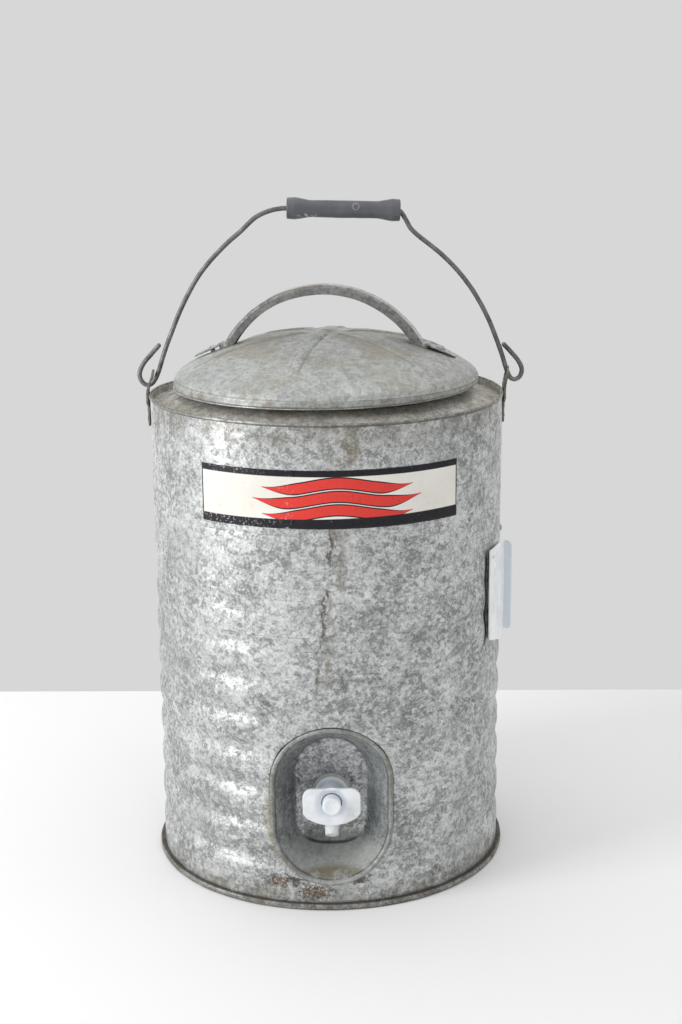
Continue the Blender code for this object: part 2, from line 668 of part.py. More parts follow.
def build_lid_handle(cover, steel, parts, tools, frame):
    """A channel-section arch with a flat foot at each end, riveted to the dome."""
    half = ARCH_WIDE / 2 - ARCH_SHEET / 2
    bm = bmesh.new()
    section = [(ARCH_R - ARCH_FLANGE, half), (ARCH_R, half), (ARCH_R, -half),
               (ARCH_R - ARCH_FLANGE, -half)]
    verts = [bm.verts.new((r, 0, z)) for r, z in section]
    for a, b in zip(verts, verts[1:]):
        bm.edges.new((a, b))
    arch = bm_to_object("lid_handle", bm, steel, parts)
    sweep = arch.modifiers.new("sweep", "SCREW")
    sweep.angle = 2 * ARCH_HALF_ANGLE
    sweep.steps = ARCH_STEPS
    sweep.render_steps = ARCH_STEPS
    sweep.use_smooth_shade = False
    skin = arch.modifiers.new("sheet", "SOLIDIFY")
    skin.thickness = ARCH_SHEET
    skin.offset = 0.0
    skin.use_even_offset = True
    upright = (Matrix.Rotation(-math.pi / 2 + ARCH_HALF_ANGLE, 4, "Y")
               @ Matrix.Rotation(math.pi / 2, 4, "X"))
    end_r = ARCH_R * math.sin(ARCH_HALF_ANGLE)
    centre_z = dome_z(end_r) + ARCH_LIFT - ARCH_R * math.cos(ARCH_HALF_ANGLE)
    arch.parent = frame
    arch.matrix_local = Matrix.Translation((0, 0, centre_z)) @ upright
    under = LID_SKIRT_Z - ARCH_R
    dome = [(r, z + 2 * GAP) for r, z in dome_line(0.0, LID_BOSS_R)]
    room = turned("handle_room", [(0, dome_z(0) + GAP)] + dome + [(LID_R, under), (0, under)],
                  None, tools)
    room.parent = frame
    boolean(arch, room, "DIFFERENCE")
    for side, name in ((-1, "left"), (1, "right")):
        slope = dome_slope(FOOT_R)
        lean = Matrix.Rotation(side * slope, 4, "Y")
        middle = Matrix.Translation((side * FOOT_R, 0, dome_z(FOOT_R)))
        wide, long = FOOT_WIDE / 2, FOOT_LONG / 2
        inner = -side * long
        outline = rounded([(inner, -wide * side, 0), (-inner, -wide * side, wide * 0.9),
                           (-inner, wide * side, wide * 0.9), (inner, wide * side, 0)], steps=4)
        foot = prism("foot_" + name, outline, 2 * GAP, 2 * GAP + FOOT_THICK, middle @ lean, None, tools)
        foot.parent = frame
        boolean(arch, foot, "UNION")
        out = lean @ Vector((0, 0, 1))
        seat = Vector((side * FOOT_R, 0, dome_z(FOOT_R))) + out * (2 * GAP + FOOT_THICK)
        turn = Matrix.Rotation(LID_TURN, 4, "Z")
        fasten("handle_rivet_" + name, turn @ seat, turn @ out, (arch, cover), RIVET_DEEP + GAP,
               steel, parts, tools, radius=FOOT_RIVET_R)


# ---------------------------------------------------------------- bail

def bail_path():
    """The bail's wire, from hook to hook, in the XZ plane."""
    hook = Vector((math.sin(HOOK_ANGLE), 0, math.cos(HOOK_ANGLE))) * HOOK_R
    hook += Vector((PIVOT_X, 0, PIVOT_Z))
    wide = PIVOT_X - BAIL_STRAIGHT
    side = [Vector((BAIL_STRAIGHT, 0, BAIL_TOP_Z))]
    for out, down in ARM_BENDS:
        side.append(Vector((BAIL_STRAIGHT + wide * out, 0, BAIL_TOP_Z - BAIL_RISE * down)))

    def on_hook(angle):
        return hook + Vector((math.cos(angle), 0, math.sin(angle))) * HOOK_R

    side.append(on_hook(HOOK_START))
    side = [Vector((0, 0, BAIL_TOP_Z))] + smooth_path(side, 0.010)[:-1]
    for i in range(HOOK_STEPS + 1):
        side.append(on_hook(HOOK_START + (HOOK_END - HOOK_START) * i / HOOK_STEPS))
    side.append(Vector((PIVOT_X - HOOK_TIP_IN, 0, PIVOT_Z + HOOK_TIP_TALL)))
    left = [Vector((-p.x, 0, p.z)) for p in side[:0:-1]]
    return [swayed(p) for p in left + side]


def swayed(point):
    """A point of the even bail, moved by the bend that its top has taken."""
    share = min(max((point.z - PIVOT_Z - HOOK_TIP_TALL) / (BAIL_RISE - HOOK_TIP_TALL), 0.0), 1.0)
    x = point.x + BAIL_SWAY * share
    return Vector((x, 0, point.z - (x - GRIP_SHIFT) * math.tan(BAIL_LEAN) * share))


def build_bail(steel, plastic, parts):
    wire("bail_wire", bail_path(), WIRE_R, steel, parts)
    bore = WIRE_R + GRIP_BORE_GAP
    end = GRIP_LONG / 2
    shape = [(GRIP_END_R - 0.0008, end), (GRIP_END_R, end - 0.0015), (GRIP_END_R - 0.0003, end - 0.008),
             (GRIP_WAIST_R, end - 0.022)]
    outline = shape + [(r, -x) for r, x in shape[::-1]] + [(bore, -end), (bore, end)]
    grip = turned("bail_grip", outline, plastic, parts, closed=True, facets=20)
    grip.rotation_euler = (0, math.pi / 2 + BAIL_LEAN, 0)
    grip.location = (GRIP_SHIFT, 0, BAIL_TOP_Z)


# ---------------------------------------------------------------- spigot

def wing_outline():
    """The wing plate: a flat top with round corners, and a bottom that is one wide arc."""
    half = WING_WIDE / 2
    chord = half - WING_CORNER / 3
    bow = (chord ** 2 + WING_SAG ** 2) / (2 * WING_SAG)
    reach = math.asin(chord / bow)
    below = -WING_CORNER
    top = rounded([(half, WING_UP, WING_CORNER), (-half, WING_UP, WING_CORNER),
                   (-half, below, 0), (half, below, 0)])[:-2]
    side = -WING_DOWN + WING_SAG + WING_CORNER / 2
    arc = []
    for i in range(13):
        angle = -reach + 2 * reach * i / 12
        arc.append((bow * math.sin(angle), -WING_DOWN + bow * (1 - math.cos(angle))))
    return top + [(-half, side)] + arc + [(half, side)]


def build_spigot_body(white, parts, tools):
    """Wing plate, barrel, flange and threaded shank in one moulding, with the spout under it."""
    front = facing(FRONT)
    raise_it = Matrix.Translation((0, 0, SPIGOT_Z))
    body = prism("spigot_body", wing_outline(), -WING_Y - WING_THICK, -WING_Y,
                 raise_it @ front, white, parts)
    flange_y = FLOOR_Y - GASKET_THICK - 2 * GAP
    pieces = [("barrel", BARREL_R, WING_Y + WING_THICK / 2, flange_y - FLANGE_THICK / 2),
              ("flange", FLANGE_R, flange_y - FLANGE_THICK, flange_y),
              ("shank", SHANK_R, flange_y - FLANGE_THICK / 2, SHANK_END_Y)]
    for name, radius, y0, y1 in pieces:
        boolean(body, disc("spigot_" + name, radius, y0, y1, SPIGOT_Z, None, tools), "UNION")
    spout_y = WING_Y + SPOUT_BACK
    upright = Matrix.Translation((0, spout_y, SPIGOT_Z))
    spout = prism("spigot_spout", oval(SPOUT_R, SPOUT_R, 8), -SPOUT_DROP, -BARREL_R / 2, upright,
                  None, tools)
    boolean(body, spout, "UNION")
    bores = [("button_bore", BUTTON_R + BUTTON_GAP, WING_Y - CUT_ROOM, BORE_END_Y),
             ("valve_hole", VALVE_SEAT_R, BORE_END_Y - SEAT_THICK / 3, SEAT_Y + SEAT_THICK / 3),
             ("valve_bore", VALVE_BORE_R, SEAT_Y, SHANK_END_Y + CUT_ROOM)]
    for name, radius, y0, y1 in bores:
        boolean(body, disc(name, radius, y0, y1, SPIGOT_Z, None, tools), "DIFFERENCE")
    bore = prism("spout_bore", oval(SPOUT_BORE_R, SPOUT_BORE_R, 8), -2 * SPOUT_DROP, 0, upright,
                 None, tools)
    boolean(body, bore, "DIFFERENCE")
    reach = 4 * SPOUT_R
    slice_off = block("spout_slice", (-reach, -reach, -2 * reach), (reach, reach, 0), None,
                      tools)
    slice_off.location = (0, spout_y, SPIGOT_Z - SPOUT_DROP + SPOUT_R * math.tan(SPOUT_CUT))
    slice_off.rotation_euler = (-SPOUT_CUT, 0, 0)
    boolean(body, slice_off, "DIFFERENCE")


def ring(name, outer, inner, y0, y1, material, parts, tools, facets=24):
    """A flat ring round the spigot's axis."""
    body = disc(name, outer, y0, y1, SPIGOT_Z, material, parts, facets)
    hole = disc(name + "_hole", inner, y0 - CUT_ROOM, y1 + CUT_ROOM, SPIGOT_Z, None, tools)
    boolean(body, hole, "DIFFERENCE")


def build_seals(rubber, white, parts, tools):
    """The gasket on the alcove's floor, the spacer behind it, the washer inside the tank and its nut."""
    bore = SHANK_R + GAP
    ring("outer_gasket", GASKET_R, bore, FLOOR_Y - GAP - GASKET_THICK, FLOOR_Y - GAP, rubber,
         parts, tools)
    ring("spacer", FLANGE_R, bore, FLOOR_Y + SHEET + GAP, -TANK_R - GAP, rubber, parts, tools)
    ring("tank_washer", WASHER_R, bore, WASHER_Y, WASHER_Y + GASKET_THICK, rubber, parts,
         tools)
    nut_y = WASHER_Y + GASKET_THICK + GAP
    ring("shank_nut", NUT_R, bore, nut_y, nut_y + NUT_THICK, white, parts, tools,
         facets=6)


def build_button(white, rubber, spring_steel, parts, tools):
    """The button, the stem behind it, the valve seal that the stem carries, and the return spring."""
    back = WING_Y - BUTTON_PROUD + BUTTON_LONG
    button = disc("button", BUTTON_R, WING_Y - BUTTON_PROUD, back, SPIGOT_Z, white,
                  parts)
    edge = button.modifiers.new("edge", "BEVEL")
    edge.width = 0.0008
    edge.segments = 2
    edge.limit_method = "ANGLE"
    seal_y = SEAT_Y + GAP
    seal_end = seal_y + SEAL_THICK
    stem = [(STEM_R, back + GAP), (STEM_R, seal_end + GAP), (2 * STEM_R, seal_end + GAP),
            (2 * STEM_R, seal_end + GAP + 0.0015)]
    outline = [(0, -stem[0][1])] + [(r, -y) for r, y in stem] + [(0, -stem[-1][1])]
    rod = turned("valve_stem", outline, white, parts, facets=12)
    rod.matrix_world = Matrix.Translation((0, 0, SPIGOT_Z)) @ Matrix.Rotation(math.pi / 2, 4, "X")
    ring("valve_seal", VALVE_BORE_R - FOAM_GAP, STEM_R + GAP, seal_y, seal_end, rubber, parts,
         tools, facets=16)
    radius = (BUTTON_R + STEM_R) / 2
    start, end = back + GAP + SPRING_WIRE, BORE_END_Y - GAP - SPRING_WIRE
    points = []
    steps = SPRING_TURNS * 12
    for i in range(steps + 1):
        angle = 2 * math.pi * i / 12
        points.append((radius * math.cos(angle), start + (end - start) * i / steps,
                       SPIGOT_Z + radius * math.sin(angle)))
    wire("return_spring", points, SPRING_WIRE, spring_steel, parts)


def main():
    clear_scene()
    parts = bpy.data.collections.new(COLLECTION)
    tools = bpy.data.collections.new("cutters")
    for collection in (parts, tools):
        bpy.context.scene.collection.children.link(collection)
    steel = make_material("galvanized", (0.50, 0.51, 0.50), 0.45, 0.85)
    wire_steel = make_material("wire", (0.30, 0.31, 0.32), 0.45, 0.85)
    foam = make_material("foam", (0.80, 0.74, 0.55), 0.9, 0.0)
    white_metal = make_material("white_enamel", (0.86, 0.88, 0.90), 0.35, 0.0)
    white_plastic = make_material("white_plastic", (0.90, 0.91, 0.92), 0.35, 0.0)
    dark_plastic = make_material("dark_plastic", (0.07, 0.075, 0.085), 0.5, 0.0)
    rubber = make_material("rubber", (0.75, 0.75, 0.73), 0.7, 0.0)
    paper = make_material("label", (0.85, 0.83, 0.76), 0.4, 0.0)

    shell = build_outer_shell(steel, parts, tools)
    build_bottom_pan(steel, parts)
    build_deck(steel, parts)
    build_inner_tank(steel, parts, tools)
    build_insulation(foam, parts, tools)
    build_alcove_pan(steel, parts, tools)
    build_label(paper, parts)
    build_ears(shell, steel, parts, tools)
    build_bracket(shell, white_metal, parts, tools)
    build_shell_rivet(shell, steel, parts, tools)

    lid_frame = bpy.data.objects.new("lid_frame", None)
    parts.objects.link(lid_frame)
    lid_frame.rotation_euler = (0, 0, LID_TURN)
    cover = build_lid_shell(steel, parts, lid_frame)
    build_lid_pan(steel, parts, lid_frame)
    build_lid_insulation(foam, parts, lid_frame)
    build_lid_handle(cover, steel, parts, tools, lid_frame)

    build_bail(wire_steel, dark_plastic, parts)
    build_spigot_body(white_plastic, parts, tools)
    build_seals(rubber, white_plastic, parts, tools)
    build_button(white_plastic, rubber, wire_steel, parts, tools)


if __name__ == "__main__":
    main()
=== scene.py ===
"""Looks for the galvanized water cooler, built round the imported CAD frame. Metres, +Z up."""
import math
import random

import bmesh
import bpy
from mathutils import Matrix, Vector, noise


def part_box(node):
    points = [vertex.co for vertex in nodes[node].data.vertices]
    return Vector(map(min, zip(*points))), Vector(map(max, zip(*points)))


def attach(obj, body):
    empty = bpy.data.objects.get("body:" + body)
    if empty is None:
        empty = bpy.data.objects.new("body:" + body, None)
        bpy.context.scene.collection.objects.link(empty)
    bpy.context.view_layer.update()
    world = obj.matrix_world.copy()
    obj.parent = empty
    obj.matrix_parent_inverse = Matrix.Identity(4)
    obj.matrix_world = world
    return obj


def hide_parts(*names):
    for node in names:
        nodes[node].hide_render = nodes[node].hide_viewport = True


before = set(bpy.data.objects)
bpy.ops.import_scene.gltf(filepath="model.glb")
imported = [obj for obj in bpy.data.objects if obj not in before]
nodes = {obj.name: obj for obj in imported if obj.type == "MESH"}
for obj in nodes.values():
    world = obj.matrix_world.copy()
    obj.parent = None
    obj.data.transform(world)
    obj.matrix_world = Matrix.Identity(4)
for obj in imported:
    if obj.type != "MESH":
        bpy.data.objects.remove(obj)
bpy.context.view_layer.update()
rng = random.Random(7)

# ---------------------------------------------------------------- sizes taken from the frame

shell_low, shell_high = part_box("outer_shell")
deck_low, deck_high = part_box("deck")
pan_low, pan_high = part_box("bottom_pan")
tank_low, tank_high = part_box("inner_tank")
lid_low, lid_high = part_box("lid_shell")
lid_pan_low, lid_pan_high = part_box("lid_pan")
arch_low, arch_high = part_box("lid_handle")
alcove_low, alcove_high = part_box("alcove_pan")
label_low, label_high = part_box("label")
grip_low, grip_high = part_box("bail_grip")
body_low, body_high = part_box("spigot_body")
button_low, button_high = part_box("button")
gasket_low, gasket_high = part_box("outer_gasket")
bracket_low, bracket_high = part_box("side_bracket")

SHEET = 0.0007
HEM_PROUD = 0.0013
HEM_TALL = 0.0022
SHELL_R = shell_high.x - HEM_PROUD
RIM_Z = shell_high.z
BEAD_COUNT = 8
BEAD_PITCH = 0.0311
BEAD_DEPTH = 0.0022
FIRST_BEAD_Z = 0.0425
ALCOVE_Z = (alcove_low.z + alcove_high.z) / 2
ALCOVE_LIP = 0.0025
ALCOVE_HALF_WIDE = alcove_high.x - ALCOVE_LIP
ALCOVE_HALF_TALL = (alcove_high.z - alcove_low.z) / 2 - ALCOVE_LIP
FLOOR_HALF_WIDE = 0.0295
FLOOR_HALF_TALL = 0.0460
FLOOR_Y = -(SHELL_R - 0.038)
SPIGOT_Z = (gasket_low.z + gasket_high.z) / 2
LID_R = lid_high.x
SKIRT_Z = lid_low.z
SKIRT_TALL = 0.0058
LID_RISE = 0.0366
LID_TURN = math.radians(-8.0)
LID_TILT = math.radians(-0.60)
PIVOT_Z = 0.4205
WIRE_R = 0.0020
BAIL_LEAN = math.radians(1.6)
RIB_ANGLES = [math.radians(a) for a in (-97.0, -37.0, 23.0, 83.0, 143.0, 203.0)]
LIP_OUT = 0.0023           # the alcove's lip reaches this far outside its opening


# ---------------------------------------------------------------- procedural materials

class Finish:
    """A node material on the object's own coordinates, with short calls for the nodes it uses."""

    def __init__(self, name, metallic=0.0, roughness=0.5, specular=0.5):
        self.material = bpy.data.materials.new(name)
        self.material.use_nodes = True
        self.tree = self.material.node_tree
        self.shader = self.tree.nodes["Principled BSDF"]
        self.shader.inputs["Metallic"].default_value = metallic
        self.shader.inputs["Roughness"].default_value = roughness
        self.shader.inputs["Specular IOR Level"].default_value = specular
        self.coords = self.tree.nodes.new("ShaderNodeTexCoord")
        self.place = self.coords.outputs["Object"]

    def put(self, socket, value):
        if isinstance(value, bpy.types.NodeSocket):
            self.tree.links.new(value, socket)
        elif hasattr(socket.default_value, "__len__") and len(socket.default_value) == 4:
            grey = (value,) * 3 if isinstance(value, (int, float)) else tuple(value)
            socket.default_value = (*grey[:3], 1.0)
        else:
            socket.default_value = value

    def axes(self, place=None):
        split = self.tree.nodes.new("ShaderNodeSeparateXYZ")
        self.put(split.inputs[0], place or self.place)
        return split.outputs

    def stretched(self, scale, place=None):
        mapping = self.tree.nodes.new("ShaderNodeMapping")
        self.put(mapping.inputs["Vector"], place or self.place)
        mapping.inputs["Scale"].default_value = scale
        return mapping.outputs["Vector"]

    def warped(self, scale, amount, place=None):
        """The coordinates, pushed about by a noise of that scale."""
        wobble = self.tree.nodes.new("ShaderNodeTexNoise")
        self.put(wobble.inputs["Vector"], place or self.place)
        wobble.inputs["Scale"].default_value = scale
        wobble.inputs["Detail"].default_value = 3.0
        centred = self.tree.nodes.new("ShaderNodeVectorMath")
        centred.operation = "SUBTRACT"
        self.put(centred.inputs[0], wobble.outputs["Color"])
        centred.inputs[1].default_value = (0.5, 0.5, 0.5)
        moved = self.tree.nodes.new("ShaderNodeVectorMath")
        moved.operation = "MULTIPLY_ADD"
        self.put(moved.inputs[0], centred.outputs[0])
        moved.inputs[1].default_value = (amount,) * 3
        self.put(moved.inputs[2], place or self.place)
        return moved.outputs[0]

    def noise(self, scale, detail=4.0, rough=0.55, distortion=0.0, place=None):
        node = self.tree.nodes.new("ShaderNodeTexNoise")
        self.put(node.inputs["Vector"], place or self.place)
        node.inputs["Scale"].default_value = scale
        node.inputs["Detail"].default_value = detail
        node.inputs["Roughness"].default_value = rough
        node.inputs["Distortion"].default_value = distortion
        return node.outputs["Fac"]

    def cells(self, scale, place=None, edges=False):
        node = self.tree.nodes.new("ShaderNodeTexVoronoi")
        node.feature = "DISTANCE_TO_EDGE" if edges else "F1"
        self.put(node.inputs["Vector"], place or self.place)
        node.inputs["Scale"].default_value = scale
        if edges:
            return node.outputs["Distance"]
        grey = self.tree.nodes.new("ShaderNodeSeparateColor")
        self.put(grey.inputs[0], node.outputs["Color"])
        return grey.outputs[0]

    def math(self, operation, a, b=0.0, clamp=False):
        node = self.tree.nodes.new("ShaderNodeMath")
        node.operation = operation
        node.use_clamp = clamp
        self.put(node.inputs[0], a)
        self.put(node.inputs[1], b)
        return node.outputs[0]

    def product(self, *values):
        result = values[0]
        for value in values[1:]:
            result = self.math("MULTIPLY", result, value)
        return result

    def range(self, value, low, high, to_low=0.0, to_high=1.0):
        node = self.tree.nodes.new("ShaderNodeMapRange")
        node.interpolation_type = "SMOOTHSTEP"
        self.put(node.inputs["Value"], value)
        node.inputs["From Min"].default_value = low
        node.inputs["From Max"].default_value = high
        node.inputs["To Min"].default_value = to_low
        node.inputs["To Max"].default_value = to_high
        return node.outputs["Result"]

    def band(self, value, middle, half, soft):
        """1 within half of a middle value, falling to 0 over a soft edge."""
        away = self.math("ABSOLUTE", self.math("SUBTRACT", value, middle))
        return self.range(away, half, half + soft, 1.0, 0.0)

    def ramp(self, value, stops):
        node = self.tree.nodes.new("ShaderNodeValToRGB")
        self.put(node.inputs[0], value)
        ramp = node.color_ramp
        while len(ramp.elements) < len(stops):
            ramp.elements.new(0.5)
        for element, (position, color) in zip(ramp.elements, stops):
            grey = (color,) * 3 if isinstance(color, (int, float)) else color
            element.position = position
            element.color = (*grey, 1.0)
        return node.outputs["Color"]

    def mix(self, share, a, b, mode="MIX"):
        node = self.tree.nodes.new("ShaderNodeMix")
        node.data_type = "RGBA"
        node.blend_type = mode
        sockets = [s for s in node.inputs if s.enabled]
        self.put(sockets[0], share)
        self.put(sockets[1], a)
        self.put(sockets[2], b)
        return [s for s in node.outputs if s.enabled][0]

    def bump(self, height, distance, strength=1.0, under=None):
        node = self.tree.nodes.new("ShaderNodeBump")
        node.inputs["Strength"].default_value = strength
        node.inputs["Distance"].default_value = distance
        self.put(node.inputs["Height"], height)
        if under:
            self.put(node.inputs["Normal"], under)
        return node.outputs["Normal"]

    def wear(self, low, high):
        """How far an edge stands out, from 0 to 1."""
        geometry = self.tree.nodes.new("ShaderNodeNewGeometry")
        return self.range(geometry.outputs["Pointiness"], low, high)

    def done(self, color, roughness=None, normal=None, metallic=None):
        self.put(self.shader.inputs["Base Color"], color)
        if roughness is not None:
            self.put(self.shader.inputs["Roughness"], roughness)
        if normal is not None:
            self.put(self.shader.inputs["Normal"], normal)
        if metallic is not None:
            self.put(self.shader.inputs["Metallic"], metallic)
        return self.material


def spangle(finish, dark, light, contrast, scale=1.0):
    """Zinc crystals at two sizes under cloudy oxide, as a colour and as a bare value from 0 to 1."""
    coarse = finish.cells(250.0 * scale, finish.warped(300.0, 0.004))
    fine = finish.cells(640.0 * scale, finish.warped(700.0, 0.002))
    cloud = finish.noise(24.0 * scale, 6.0, 0.64, 0.3)
    grain = finish.noise(900.0, 4.0, 0.8)
    blotch = finish.noise(390.0 * scale, 5.0, 0.80, 0.4)
    total = finish.math("MULTIPLY", coarse, 0.11)
    for part, share in ((fine, 0.10), (cloud, 0.31), (grain, 0.20), (blotch, 0.28)):
        total = finish.math("ADD", total, finish.math("MULTIPLY", part, share))
    value = finish.range(total, 0.5 - contrast, 0.5 + contrast)
    middle = tuple((a + b) / 2 for a, b in zip(dark, light))
    color = finish.ramp(value, [(0.0, dark), (0.5, middle), (1.0, light)])
    return color, value, grain, blotch


def galvanized(name, dark=(0.215, 0.225, 0.220), light=(0.67, 0.683, 0.68), contrast=0.125,
               rough=(0.30, 0.56), metallic=0.62, dirt_and_shade=None, bumps=0.00025, scale=1.0):
    """Weathered hot-dip zinc. A function of (finish, color) passed in may paint dirt, and painted shade, over it."""
    finish = Finish(name, metallic=metallic)
    color, value, grain, blotch = spangle(finish, dark, light, contrast, scale)
    pits = finish.range(finish.noise(260.0, 3.0, 0.7, place=finish.place), 0.66, 0.74)
    color = finish.mix(finish.product(pits, 0.55), color, (0.10, 0.10, 0.095))
    if dirt_and_shade:
        color = dirt_and_shade(finish, color)
    roughness = finish.math("ADD", finish.range(value, 0.0, 1.0, rough[1], rough[0]),
                            finish.math("MULTIPLY", finish.math("SUBTRACT", grain, 0.5), 0.22))
    height = finish.math("ADD", finish.math("MULTIPLY", blotch, 0.7), finish.math("MULTIPLY", grain, 0.3))
    normal = finish.bump(height, bumps, 0.9)
    return finish.done(color, roughness, normal)


def oval_away(finish, x, z):
    """Distance outside the alcove's lip, on the shell."""
    straight = ALCOVE_HALF_TALL - ALCOVE_HALF_WIDE
    up = finish.math("ABSOLUTE", finish.math("SUBTRACT", z, ALCOVE_Z))
    up = finish.math("MAXIMUM", finish.math("SUBTRACT", up, straight), 0.0)
    square = finish.math("ADD", finish.product(up, up), finish.product(x, x))
    return finish.math("SUBTRACT", finish.math("SQRT", square), ALCOVE_HALF_WIDE + LIP_OUT)


def spot_mask(finish, x, z, middle_x, middle_z, wide, tall):
    """1 at a spot on the front of the shell, falling to 0 at its edge."""
    across = finish.math("DIVIDE", finish.math("SUBTRACT", x, middle_x), wide)
    up = finish.math("DIVIDE", finish.math("SUBTRACT", z, middle_z), tall)
    square = finish.math("ADD", finish.product(up, up), finish.product(across, across))
    return finish.range(square, 1.0, 0.0)


def shell_stains_and_shade(finish, color):
    x, y, z = finish.axes()
    front = finish.range(y, -0.10, -0.14)
    ragged = finish.noise(60.0, 5.0, 0.7)
    wander = finish.math("MULTIPLY", finish.math("SUBTRACT", ragged, 0.5), 0.022)
    # a brown run from under the rim down the middle of the front
    lean = finish.math("MULTIPLY", finish.math("SUBTRACT", z, 0.245), 0.110)
    line = finish.math("ADD", finish.math("SUBTRACT", x, lean), wander)
    tall = finish.range(z, 0.165, 0.215)
    streaks = finish.noise(90.0, 5.0, 0.75, place=finish.stretched((1.0, 1.0, 0.3)))
    run = finish.product(finish.band(line, -0.001, 0.0030, 0.010), tall, finish.range(streaks, 0.40, 0.60), front)
    color = finish.mix(finish.product(run, 0.60), color, (0.165, 0.145, 0.095))
    thin = finish.product(finish.band(line, -0.006, 0.0003, 0.0014), finish.range(z, 0.17, 0.23),
                          finish.range(z, 0.36, 0.31), finish.range(streaks, 0.40, 0.52), front)
    color = finish.mix(finish.product(thin, 0.85), color, (0.055, 0.05, 0.038))
    upper = finish.product(spot_mask(finish, x, z, 0.014, 0.378, 0.016, 0.030), finish.range(ragged, 0.38, 0.58), front)
    color = finish.mix(finish.product(upper, 0.55), color, (0.26, 0.205, 0.12))
    # dark smudges over the alcove
    smudge = finish.product(finish.band(z, 0.180, 0.010, 0.035), finish.range(finish.noise(52.0, 5.0, 0.7), 0.54, 0.66),
                            front)
    color = finish.mix(finish.product(smudge, 0.55), color, (0.10, 0.10, 0.092))
    # dark lines along the beads, broken up by wear
    phase = finish.math("PINGPONG", finish.math("SUBTRACT", z, FIRST_BEAD_Z), BEAD_PITCH / 2)
    gaps = finish.range(finish.noise(30.0, 5.0, 0.72), 0.46, 0.60)
    low_only = finish.range(z, 0.30, 0.27)
    groove = finish.product(finish.band(phase, 0.0, 0.0004, 0.0022), gaps, low_only)
    color = finish.mix(finish.product(groove, 0.40), color, (0.13, 0.13, 0.12))
    crease = finish.product(finish.band(phase, 0.0058, 0.00005, 0.0005), gaps, low_only)
    color = finish.mix(finish.product(crease, 0.60), color, (0.10, 0.10, 0.09))
    mark = finish.product(finish.band(z, 0.3195, 0.0001, 0.0006), gaps)
    color = finish.mix(finish.product(mark, 0.50), color, (0.12, 0.12, 0.11))
    # dirt under the rim and at the foot
    under_rim = finish.product(finish.range(z, 0.380, 0.403), finish.range(ragged, 0.36, 0.62))
    color = finish.mix(finish.product(under_rim, 0.50), color, (0.17, 0.15, 0.105))
    foot = finish.product(finish.range(z, 0.026, 0.008), finish.range(ragged, 0.34, 0.60))
    color = finish.mix(finish.product(foot, 0.55), color, (0.15, 0.135, 0.095))
    # round the alcove: a painted shadow line just outside the lip, where the dish meets the wall, and a yellow-green
    # bloom at its left
    away = oval_away(finish, x, z)
    side = finish.range(finish.math("ADD", finish.math("MULTIPLY", x, 0.7), finish.math("SUBTRACT", z, ALCOVE_Z)),
                        -0.07, 0.02, 0.35, 1.0)
    seam = finish.product(finish.band(away, 0.0003, 0.0006, 0.0009), side, front,
                          finish.range(finish.noise(140.0, 4.0, 0.7), 0.26, 0.42))
    color = finish.mix(finish.product(seam, 0.95), color, (0.028, 0.026, 0.022))
    bloom = finish.product(finish.band(away, 0.0010, 0.0010, 0.0050), finish.range(x, -0.025, -0.040),
                           finish.band(z, 0.075, 0.026, 0.020), finish.range(ragged, 0.34, 0.52), front)
    color = finish.mix(finish.product(bloom, 0.50), color, (0.24, 0.23, 0.125))
    # soot and rust patches by the foot
    fleck = finish.noise(260.0, 6.0, 0.82)
    spots = finish.noise(640.0, 4.0, 0.75)
    for middle_x, middle_z, wide, tall_half in ((-0.040, 0.0235, 0.024, 0.0095), (-0.013, 0.0150, 0.024, 0.0105),
                                                (0.020, 0.0250, 0.022, 0.0060)):
        inside = finish.product(spot_mask(finish, x, z, middle_x, middle_z, wide, tall_half), front)
        soot = finish.range(finish.math("ADD", fleck, finish.math("MULTIPLY", inside, 0.20)), 0.60, 0.70)
        color = finish.mix(finish.product(soot, finish.range(inside, 0.0, 0.3), 0.85), color, (0.060, 0.052, 0.042))
    for middle_x, middle_z, wide, tall_half in ((-0.043, 0.0235, 0.012, 0.0062), (-0.013, 0.0145, 0.012, 0.0062)):
        inside = finish.product(spot_mask(finish, x, z, middle_x, middle_z, wide, tall_half), front)
        near = finish.range(inside, 0.05, 0.6)
        color = finish.mix(finish.product(near, finish.range(fleck, 0.46, 0.58), 0.85), color, (0.10, 0.055, 0.038))
        color = finish.mix(finish.product(near, finish.range(spots, 0.53, 0.60), 0.85), color, (0.52, 0.34, 0.24))
    line_low = finish.product(finish.band(z, 0.0255, 0.0002, 0.0016), finish.band(x, -0.042, 0.030, 0.012),
                              finish.range(ragged, 0.40, 0.55), front)
    color = finish.mix(finish.product(line_low, 0.7), color, (0.07, 0.062, 0.048))
    dark_spot = finish.product(spot_mask(finish, x, z, 0.088, 0.020, 0.009, 0.006), finish.range(fleck, 0.42, 0.56))
    color = finish.mix(finish.product(dark_spot, 0.8), color, (0.06, 0.055, 0.045))
    # painted shadow: near black on the shell in the gap behind the bracket's front edge
    bracket_gap_shadow = finish.product(finish.band(finish.math("ARCTAN2", y, x), math.radians(-28.6), 0.008, 0.010),
                              finish.range(z, 0.196, 0.206), finish.range(z, 0.290, 0.276))
    color = finish.mix(finish.product(bracket_gap_shadow, 0.97), color, (0.010, 0.010, 0.010))
    # large grey patches where the zinc has dulled
    dull = finish.range(finish.noise(13.0, 4.0, 0.6, 0.4), 0.50, 0.66)
    color = finish.mix(finish.product(dull, 0.30), color, (0.27, 0.285, 0.28))
    dark = finish.range(finish.noise(42.0, 6.0, 0.74, 0.6), 0.56, 0.68)
    color = finish.mix(finish.product(dark, 0.42), color, (0.16, 0.17, 0.155))
    pale = finish.range(finish.noise(34.0, 6.0, 0.76, 0.9), 0.55, 0.68)
    return finish.mix(finish.product(pale, 0.42), color, (0.80, 0.81, 0.81))


